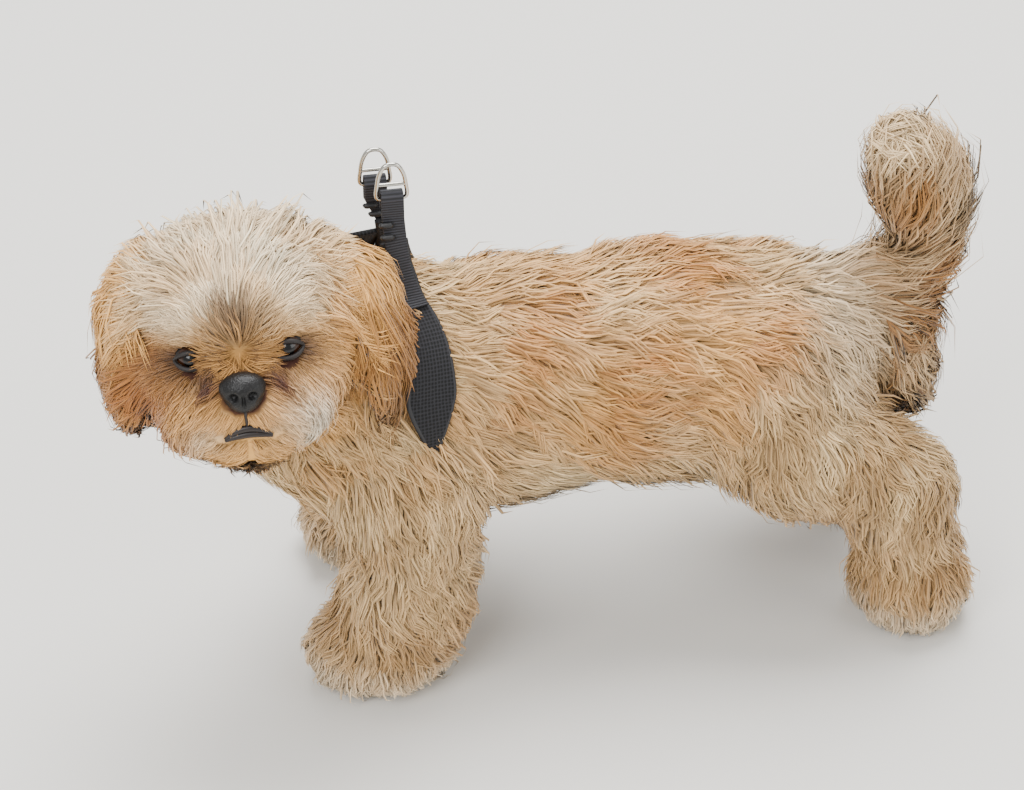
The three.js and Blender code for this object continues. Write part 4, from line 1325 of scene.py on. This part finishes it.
# Rings: bent and welded steel wire, polished
steelMaterial, _, _ = newMaterial(
    "polishedSteelWire", Base_Color=linear("#c3c0b8"), Metallic=1.0, Roughness=0.2
)
ringShape = {"half": dog["webbing"] / 2 + harness["barRadius"] + 0.4, "apex": 21, "shoulder": 16, "bar": 8.5}


def roundedLoop(points, count):
    line = spline([*points, *points[:3]], 400)
    gaps = np.linalg.norm(line - np.array(points[1]), axis=1)
    start = np.argmin(gaps)
    end = start + 40 + np.argmin(gaps[start + 40 :])  # where the line comes round to the second point again
    return line[start:end][:: max(1, (end - start) // count)]


for sideName, s in (("left", -1), ("right", 1)):
    half = ringShape["half"]
    bar = barPlace(s)
    outline = [
        (-half, 0), (0, 0), (half, 0), (half, 9), (half - 1.5, ringShape["shoulder"]), (3, ringShape["apex"]),
        (-3, ringShape["apex"]), (1.5 - half, ringShape["shoulder"]), (-half, 9),
    ]
    loop = roundedLoop([bar + (x, 0, z) for x, z in outline], 60)
    ring = tubeAlong(f"ring_wire_{sideName}", loop, harness["barRadius"], closed=True, sides=16)
    finishPiece(ring, steelMaterial)
    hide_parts(f"ring_{sideName}")
    ends = [bar + (x, 0, ringShape["bar"]) for x in (-half, half)]
    cross = tubeAlong(f"ring_bar_{sideName}", np.linspace(ends[0], ends[1], 5), 1.1, sides=16)
    finishPiece(cross, steelMaterial)

# Keepers: moulded rubber bands round the webbing
rubberMaterial, _, _ = newMaterial("mouldedRubber", Base_Color=linear("#1a1a1c"), Roughness=0.55)
for sideName, s in (("left", -1), ("right", 1)):
    grid, out = layStrap(sideStrap(s), 61, 3)
    bar = barPlace(s)
    low = grid[1, 1] + out[1] * (harness["padThickness"] + harness["webGap"] + harness["webThickness"] / 2)
    high = bar + (0, s * foldRadius, -12)
    upWay = unit(high - low)
    normal = unit(np.cross((1, 0, 0), upWay))
    wide, deep = dog["webbing"] / 2 + 2.2, harness["webThickness"] / 2 + 2.4
    for keeperName, drop in (("upper", 15), ("lower", 22)):
        centre = high - upWay * (drop - 12)
        outline = [
            (-wide, 0), (1.5 - wide, deep), (0, deep), (wide - 1.5, deep), (wide, 0), (wide - 1.5, -deep),
            (0, -deep), (1.5 - wide, -deep),
        ]
        loop = roundedLoop([centre + np.array((x, 0, 0)) + normal * y for x, y in outline], 40)
        band = tubeAlong(f"keeper_band_{keeperName}_{sideName}", loop, 1.7, closed=True, sides=12)
        finishPiece(band, rubberMaterial)
        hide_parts(f"keeper_{keeperName}_{sideName}")
print("harness made")

# Floor, light and camera
studio = {
    "floor": 8.0,
    "world": 0.86,
    "lights": {
        "keyLight": {"place": (-1.5, -1.7, 2.2), "size": 1.5, "power": 66},
        "fillLight": {"place": (2.0, -1.6, 1.2), "size": 1.6, "power": 28},
        "topLight": {"place": (0.2, 0.8, 2.4), "size": 1.8, "power": 128},
    },
}
clearSelection()
bpy.ops.mesh.primitive_plane_add(size=studio["floor"])
floor = bpy.context.object
floor.name = "studioFloor"
floorMaterial, _, _ = newMaterial("paleMattPaper", Base_Color=linear("#dddbd6"), Roughness=0.9)
floor.data.materials.append(floorMaterial)

world = bpy.data.worlds.new("softRoom")
world.use_nodes = True
background = world.node_tree.nodes["Background"]
background.inputs["Color"].default_value = linear("#f4f4f2")
background.inputs["Strength"].default_value = studio["world"]
bpy.context.scene.world = world


def addLight(name, place, size, power):
    clearSelection()
    bpy.ops.object.light_add(type="AREA", location=place)
    light = bpy.context.object
    light.name = name
    light.data.size = size
    light.data.energy = power
    light.rotation_euler = (Vector((0, 0, 0.15)) - Vector(place)).to_track_quat("-Z", "Y").to_euler()


for name, light in studio["lights"].items():
    addLight(name, **light)

photoView = {
    "place": (-344.8, -1551.2, 1379.0),  # the camera in the dog's own frame
    "right": (0.9848, -0.1737, 0.0),
    "up": (0.1069, 0.6063, 0.7880),
    "forward": (0.1368, 0.7760, -0.6157),
    "lens": 120.94,
    "sensor": 36,
    "reach": 50,
}
clearSelection()
bpy.ops.object.camera_add(location=toScene(photoView["place"]))
camera = bpy.context.object
camera.data.lens = photoView["lens"]
camera.data.sensor_width = photoView["sensor"]
camera.data.clip_end = photoView["reach"]
axes = [unit(np.array(photoView[way])) for way in ("right", "up", "forward")]
camera.rotation_euler = Matrix(np.stack([axes[0], axes[1], -axes[2]], 1).tolist()).to_euler()
bpy.context.scene.camera = camera
